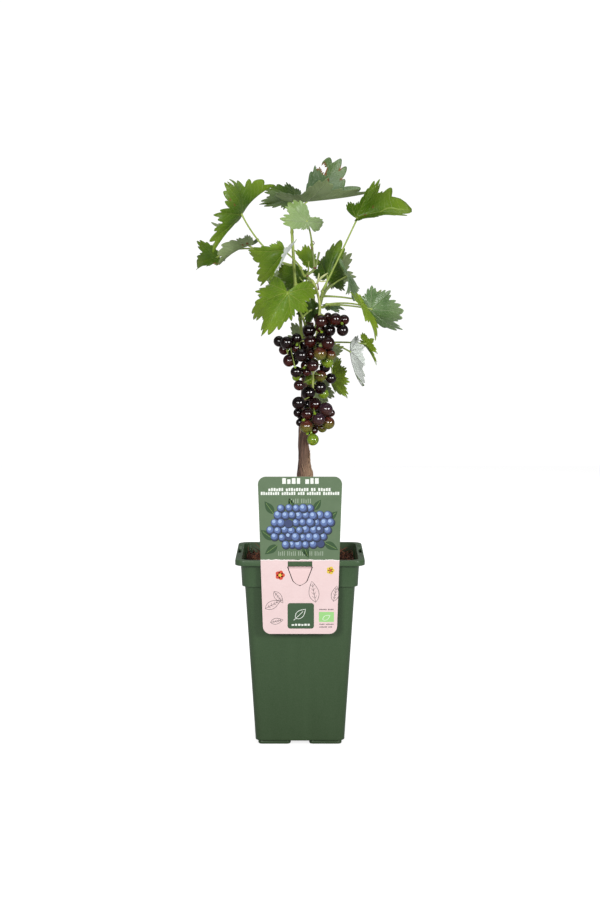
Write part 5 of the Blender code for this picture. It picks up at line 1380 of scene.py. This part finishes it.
# Berries that show from the front: across, height and radius in millimetres, and ripeness. The ones
# furthest forward are last, and they are placed first.
FRONT_BERRIES = [
    (32.3, 500.8, 4.2, "red"), (23.6, 486.6, 5.0, "red"), (-4.4, 430.6, 4.2, "green"),
    (-2.2, 389.5, 5.0, "black"), (-0.2, 378.2, 4.2, "black"), (35.8, 388.7, 4.4, "red"),
    (25.8, 371.0, 5.0, "turning"), (16.6, 369.3, 4.0, "red"), (13.1, 457.4, 5.4, "red"),
    (8.1, 437.3, 4.7, "red"), (29.0, 440.7, 5.7, "black"), (27.4, 409.7, 5.9, "green"),
    (-24.5, 471.1, 6.0, "black"), (-18.6, 461.6, 5.7, "red"), (-7.8, 456.6, 5.7, "black"),
    (-4.4, 464.1, 5.0, "red"), (31.9, 448.2, 6.4, "green"), (-12.8, 449.9, 6.4, "red"),
    (-3.9, 475.5, 5.3, "black"), (50.7, 496.7, 5.7, "red"), (36.1, 427.8, 5.7, "black"),
    (11.8, 426.1, 6.0, "green"), (-1.1, 421.9, 5.7, "red"), (49.0, 485.0, 6.3, "black"),
    (-15.3, 470.3, 7.0, "black"), (1.4, 456.6, 7.0, "black"), (35.7, 456.3, 5.4, "turning"),
    (23.2, 458.3, 7.0, "turning"), (14.8, 444.9, 6.4, "red"), (-4.4, 437.3, 6.0, "black"),
    (23.5, 430.6, 7.0, "turning"), (23.2, 417.2, 7.0, "black"), (9.8, 411.4, 7.4, "black"),
    (-1.6, 401.3, 7.0, "black"), (17.4, 398.8, 7.0, "red"), (29.9, 393.7, 7.4, "violet"),
    (8.2, 388.7, 6.4, "red"), (32.5, 377.7, 7.0, "turning"), (21.6, 382.8, 7.0, "violet"),
    (7.3, 374.4, 7.0, "turning"), (14.9, 359.2, 6.4, "green"), (24.0, 495.8, 6.7, "red"),
    (40.7, 497.8, 6.7, "red"), (34.3, 484.5, 6.3, "black"), (10.6, 483.8, 7.0, "black"),
    (12.0, 471.6, 7.0, "red"), (24.8, 476.6, 6.0, "black"), (32.3, 470.5, 7.0, "red")]
SWELL = 1.09
FILL_RADII = (0.0054, 0.0066)
HIDDEN_EDGE = 0.002


def nearest_on(route, place):
    """The point of a route that lies nearest to a place."""
    spots = []
    for low, high in zip(route, route[1:]):
        start, run = Vector(low), Vector(high) - Vector(low)
        spots.append(start + run * min(1, max(0, (place - start).dot(run) / run.length_squared)))
    return min(spots, key=lambda spot: (place - spot).length)


def front_of_bunch(x, z):
    """Depth of the middles of the front berries: level sections of the bunch are half ellipses."""
    axis = nearest_on(RACHIS, Vector((x, RACHIS[-1][1], z)))
    height = (z - RACHIS[-1][2]) / (RACHIS[2][2] - RACHIS[-1][2])
    aside = min(1, abs(x - axis.x) / between(*BUNCH_HALF_WIDTHS, height))
    return axis.y - BUNCH_DEPTH * sqrt(1 - aside ** 2)


def touches(trial, radius, berries):
    return any((trial - other).length < radius + size for other, size in berries)


def settled(place, heading, radius, berries, deepest):
    """Slide a berry along Y until it touches another one or has gone as deep as it may."""
    last = None
    for step in range(SLIDE_STEPS):
        trial = place + Vector((0, heading * SLIDE_STRIDE * step, 0))
        if touches(trial, radius, berries):
            break
        last = trial
        if (trial.y - deepest) * heading >= 0:
            break
    return last


def tucked(x, z, radius, berries):
    """Push a berry back from the bunch's front until it clears the ones in front of it."""
    over = [other.y for other, size in berries if hypot(other.x - x, other.z - z) < radius + size]
    trial = Vector((x, max([front_of_bunch(x, z)] + over), z))
    while trial.y < BUNCH_BACK and touches(trial, radius, berries):
        trial.y += SLIDE_STRIDE
    return trial


def grow_berries():
    """Front berries where they show, then seeded ones in the gaps between them and behind them."""
    berries = []
    looks = []
    for across, height, size, look in reversed(FRONT_BERRIES):
        x, z, radius = across / 1000, height / 1000, size / 1000 * SWELL
        berries.append((tucked(x, z, radius, berries), radius))
        looks.append(look)
    chance = random.Random(3)
    front = list(berries)
    for attempt in range(GAP_TRIALS):
        model, size = front[attempt % len(front)]
        swing = radians(chance.uniform(0, 360))
        radius = chance.uniform(*FILL_RADII)
        beside = model + Vector((cos(swing), 0, sin(swing))) * (size + radius) * chance.uniform(0.6, 0.9)
        spacings = [(hypot(beside.x - other.x, beside.z - other.z), girth) for other, girth in berries]
        if any(spacing < (radius + girth) * 0.45 for spacing, girth in spacings):
            continue
        rim = [(beside.x + cos(turn) * radius, beside.z + sin(turn) * radius) for turn in RIM_TURNS]
        if not all(any(hypot(x - other.x, z - other.z) < girth + HIDDEN_EDGE for other, girth in front)
                   for x, z in rim):
            continue
        place = settled(Vector((beside.x, BUNCH_BACK, beside.z)), -1, radius, berries,
                        front_of_bunch(beside.x, beside.z) + radius)
        if place is not None:
            berries.append((place, radius))
            looks.append("black" if chance.random() < 0.7 else "red")
    for attempt in range(BACK_TRIALS):
        model, size = front[attempt % len(front)]
        radius = chance.uniform(*FILL_RADII)
        axis = nearest_on(RACHIS, model)
        start = Vector((between(axis.x, model.x, chance.uniform(0, 0.8)), BUNCH_BACK,
                        model.z + chance.uniform(-0.003, 0.002)))
        place = settled(start, -1, radius, berries, front_of_bunch(start.x, start.z) + radius)
        if place is not None:
            berries.append((place, radius))
            looks.append("black" if chance.random() < 0.75 else "red")
    return [(place, radius, look) for (place, radius), look in zip(berries, looks)]


# Seedless berries that never swelled, between the others, in millimetres
SHOT_BERRIES = [(-14.2, 460.7), (5.0, 442.2), (-5.8, 443.3), (8.5, 366.3), (3.8, 382.0), (17.0, 389.8),
                (48.4, 492.9), (25.0, 483.1), (34.6, 449.7), (-3.5, 468.1), (12.7, 367.5), (18.5, 358.2)]
SHOT_RADIUS = 0.0017


def berry_skin(name, foot, head, bloom, roughness, glow):
    """Taut grape skin: its colour runs from the berry's foot to its head, the foot lighter with a painted
    glow of light through the lower skin, under a thin cloudy bloom.
    """
    finish, tree, shader = start_material("berry_" + name, foot, roughness)
    flat = add_node(tree, "UVMap", uv_map="berry_height").outputs["UV"]
    height = add_node(tree, "SeparateXYZ", {0: flat}).outputs["Y"]
    cloud = mottle(tree, 110.0, 1.6)[0]
    # Painted light: the foot of each berry is lighter than its head, as light glowing through the skin; on
    # turning berries the change of colour is also their own.
    rise = ramp(tree, maths(tree, "MULTIPLY_ADD", cloud, 0.35, height), 0.25, 1.0, "SMOOTHSTEP")
    ripeness_and_painted_glow = blend_colours(tree, rise, 1, foot, head)
    tree.links.new(blend_colours(tree, cloud, 0.22, ripeness_and_painted_glow, bloom), shader.inputs["Base Color"])
    for part, value in (("Specular IOR Level", 0.3), ("Subsurface Weight", glow),
                        ("Subsurface Radius", (0.004, 0.002, 0.001)), ("Subsurface Scale", 0.6)):
        shader.inputs[part].default_value = value
    return finish


# Each skin: foot colour, head colour, bloom, roughness and subsurface glow. The lighter feet are painted
# glow of light through the skin, and on the turning ones also their own ripening.
BERRY_SKINS = {
    "black": berry_skin("black", (30, 8, 8), (10, 4, 6), (22, 11, 15), 0.1, 0.0),
    "red": berry_skin("red_brown", (66, 20, 11), (24, 7, 9), (46, 19, 20), 0.1, 0.1),
    "violet": berry_skin("violet", (72, 44, 34), (40, 20, 30), (78, 58, 72), 0.14, 0.1),
    "turning": berry_skin("turning", (112, 116, 40), (78, 28, 22), (104, 76, 56), 0.12, 0.2),
    "green": berry_skin("green", (120, 144, 30), (104, 134, 30), (142, 160, 66), 0.14, 0.3),
}
BERRY_LOOK = grow_berries()
for across, height in SHOT_BERRIES:
    place = Vector((across / 1000, BUNCH_FRONT, height / 1000))
    grown = [(other, radius) for other, radius, ripeness in BERRY_LOOK]
    lying = settled(place, 1, SHOT_RADIUS, grown, front_of_bunch(place.x, place.z) + 0.006)
    if lying is not None:
        BERRY_LOOK.append((lying, SHOT_RADIUS, "green"))

berry_sets = {ripeness: bmesh.new() for ripeness in BERRY_SKINS}
for bm in berry_sets.values():
    bm.loops.layers.uv.new("berry_height")
scar_bm = bmesh.new()
stalks_bm = bmesh.new()
for place, radius, ripeness in BERRY_LOOK:
    hold = min((nearest_on(route, place + Vector((0, 0, 0.006)))
                for route in (RACHIS[3:], SHOULDER_LEFT, SHOULDER_RIGHT)),
               key=lambda spot: (spot - place).length)
    hang = (place - hold).normalized()
    bm = berry_sets[ripeness]
    height_map = bm.loops.layers.uv["berry_height"]
    ball = bmesh.ops.create_uvsphere(bm, u_segments=28, v_segments=16, radius=radius)["verts"]
    bmesh.ops.scale(bm, vec=(0.985, 0.985, 1.03), verts=ball)
    turned = Vector((0, 0, -1)).rotation_difference(hang).to_matrix()
    bmesh.ops.rotate(bm, cent=(0, 0, 0), matrix=turned, verts=ball)
    for face in {face for vert in ball for face in vert.link_faces}:
        for loop in face.loops:
            loop[height_map].uv = (0.5, 0.5 + loop.vert.co.z / radius / 2)
    bmesh.ops.translate(bm, vec=place, verts=ball)
    if radius > SHOT_RADIUS:
        scar = bmesh.ops.create_uvsphere(scar_bm, u_segments=8, v_segments=5, radius=0.0004)["verts"]
        bmesh.ops.translate(scar_bm, vec=place + hang * radius * 1.01, verts=scar)
    middle = hold.lerp(place, 0.5) + Vector((0, 0, 0.0015))
    route = [hold, hold.lerp(middle, 0.6), middle.lerp(place, 0.5), place - hang * radius * 0.9]
    wrap_tube(stalks_bm, route, [0.0008, 0.0006, 0.0007, min(0.0014, radius * 0.5)], 8)
ball_pieces = [add_piece("berries_" + ripeness, bm, [BERRY_SKINS[ripeness]], "grape_bunch")
               for ripeness, bm in berry_sets.items()]
add_piece("berry_scars", scar_bm, [joint_brown], "grape_bunch")
berry_green = green_stem("berry_stalk_olive", (146, 160, 80), (106, 124, 54))
add_piece("berry_stalks", stalks_bm, [berry_green], "grape_bunch")
rachis_bm = bmesh.new()
add_limb(rachis_bm, shoot(RACHIS, 0.0018, 0.001), 0.0012, 16)
for branch in (SHOULDER_LEFT, SHOULDER_RIGHT):
    add_limb(rachis_bm, shoot(branch, 0.0012, 0.0008), 0.0012, 12)
bunch_green = green_stem("bunch_stalk_green", (176, 184, 104), (140, 154, 76))
add_piece("bunch_stalks", rachis_bm, [bunch_green], "grape_bunch")


# The studio: a wide floor that shows pale but throws little light back, an even surround, two
# softboxes at the front, a weak one overhead and one behind. Two more at the front light only the
# berries. The camera stands where the photograph's did.

STUDIO_HALF = 3.0
floor_bm = bmesh.new()
bmesh.ops.create_grid(floor_bm, x_segments=1, y_segments=1, size=STUDIO_HALF)
studio_floor = loose_object("studio_floor", floor_bm)
floor_finish, floor_tree, floor_shader = start_material("studio_white", (169.62, 169.62, 169.62), 0.9)
floor_shader.inputs["Specular IOR Level"].default_value = 0.0
floor_shader.inputs["Emission Color"].default_value = (1, 1, 1, 1)
floor_sight = add_node(floor_tree, "LightPath").outputs["Is Camera Ray"]
floor_glow = maths(floor_tree, "MULTIPLY_ADD", floor_sight, 0.74, 0.06)
floor_tree.links.new(floor_glow, floor_shader.inputs["Emission Strength"])
studio_floor.data.materials.append(floor_finish)

world = bpy.data.worlds.new("studio_surround")
world.use_nodes = True
bpy.context.scene.world = world
surround = world.node_tree
background = surround.nodes["Background"]
background.inputs["Color"].default_value = (1, 1, 1, 1)
paths = add_node(surround, "LightPath").outputs
seen_glow = maths(surround, "MULTIPLY_ADD", paths["Is Camera Ray"], 0.65, 0.4)
glow = maths(surround, "MULTIPLY_ADD", paths["Is Glossy Ray"], -0.17, seen_glow)
surround.links.new(glow, background.inputs["Strength"])


def softbox(name, place, size, power):
    """A square lamp that faces the plant's middle."""
    lamp = bpy.data.lights.new(name, "AREA")
    lamp.shape = "SQUARE"
    lamp.size = size
    lamp.energy = power
    box = bpy.data.objects.new(name, lamp)
    bpy.context.scene.collection.objects.link(box)
    box.location = place
    aim = Vector((0, 0, 0.4)) - Vector(place)
    box.rotation_euler = aim.to_track_quat("-Z", "Y").to_euler()
    return box


softbox("softbox_left", (-1.0, -2.4, 1.1), 0.6, 34)
softbox("softbox_right", (1.6, -2.1, 1.0), 0.6, 34)
softbox("softbox_top", (0.0, 0.2, 2.2), 1.4, 14)
rear_box = softbox("softbox_rear", (0.6, 2.4, 1.3), 1.0, 18)
rear_box.visible_glossy = False

# Two more softboxes give the berries their mirror-like highlights and light nothing else
berry_group = bpy.data.collections.new("berries")
for ball_piece in ball_pieces:
    berry_group.objects.link(ball_piece)
for name, place in (("berry_shine_near", (-0.1, -2.5, 1.0)), ("berry_shine_side", (1.8, -1.6, 1.0))):
    shine = softbox(name, place, 0.75, 85)
    shine.visible_diffuse = False
    shine.light_linking.receiver_collection = berry_group

camera_data = bpy.data.cameras.new("camera")
camera_data.lens = 77.4
camera_data.sensor_width = 36.0
camera_data.sensor_fit = "AUTO"
camera = bpy.data.objects.new("camera", camera_data)
bpy.context.scene.collection.objects.link(camera)
camera.location = (0.0, -2.275, 0.5695)
camera.rotation_euler = (radians(90 - 5.71), 0, 0)
bpy.context.scene.camera = camera
bpy.context.scene.view_settings.view_transform = "Standard"
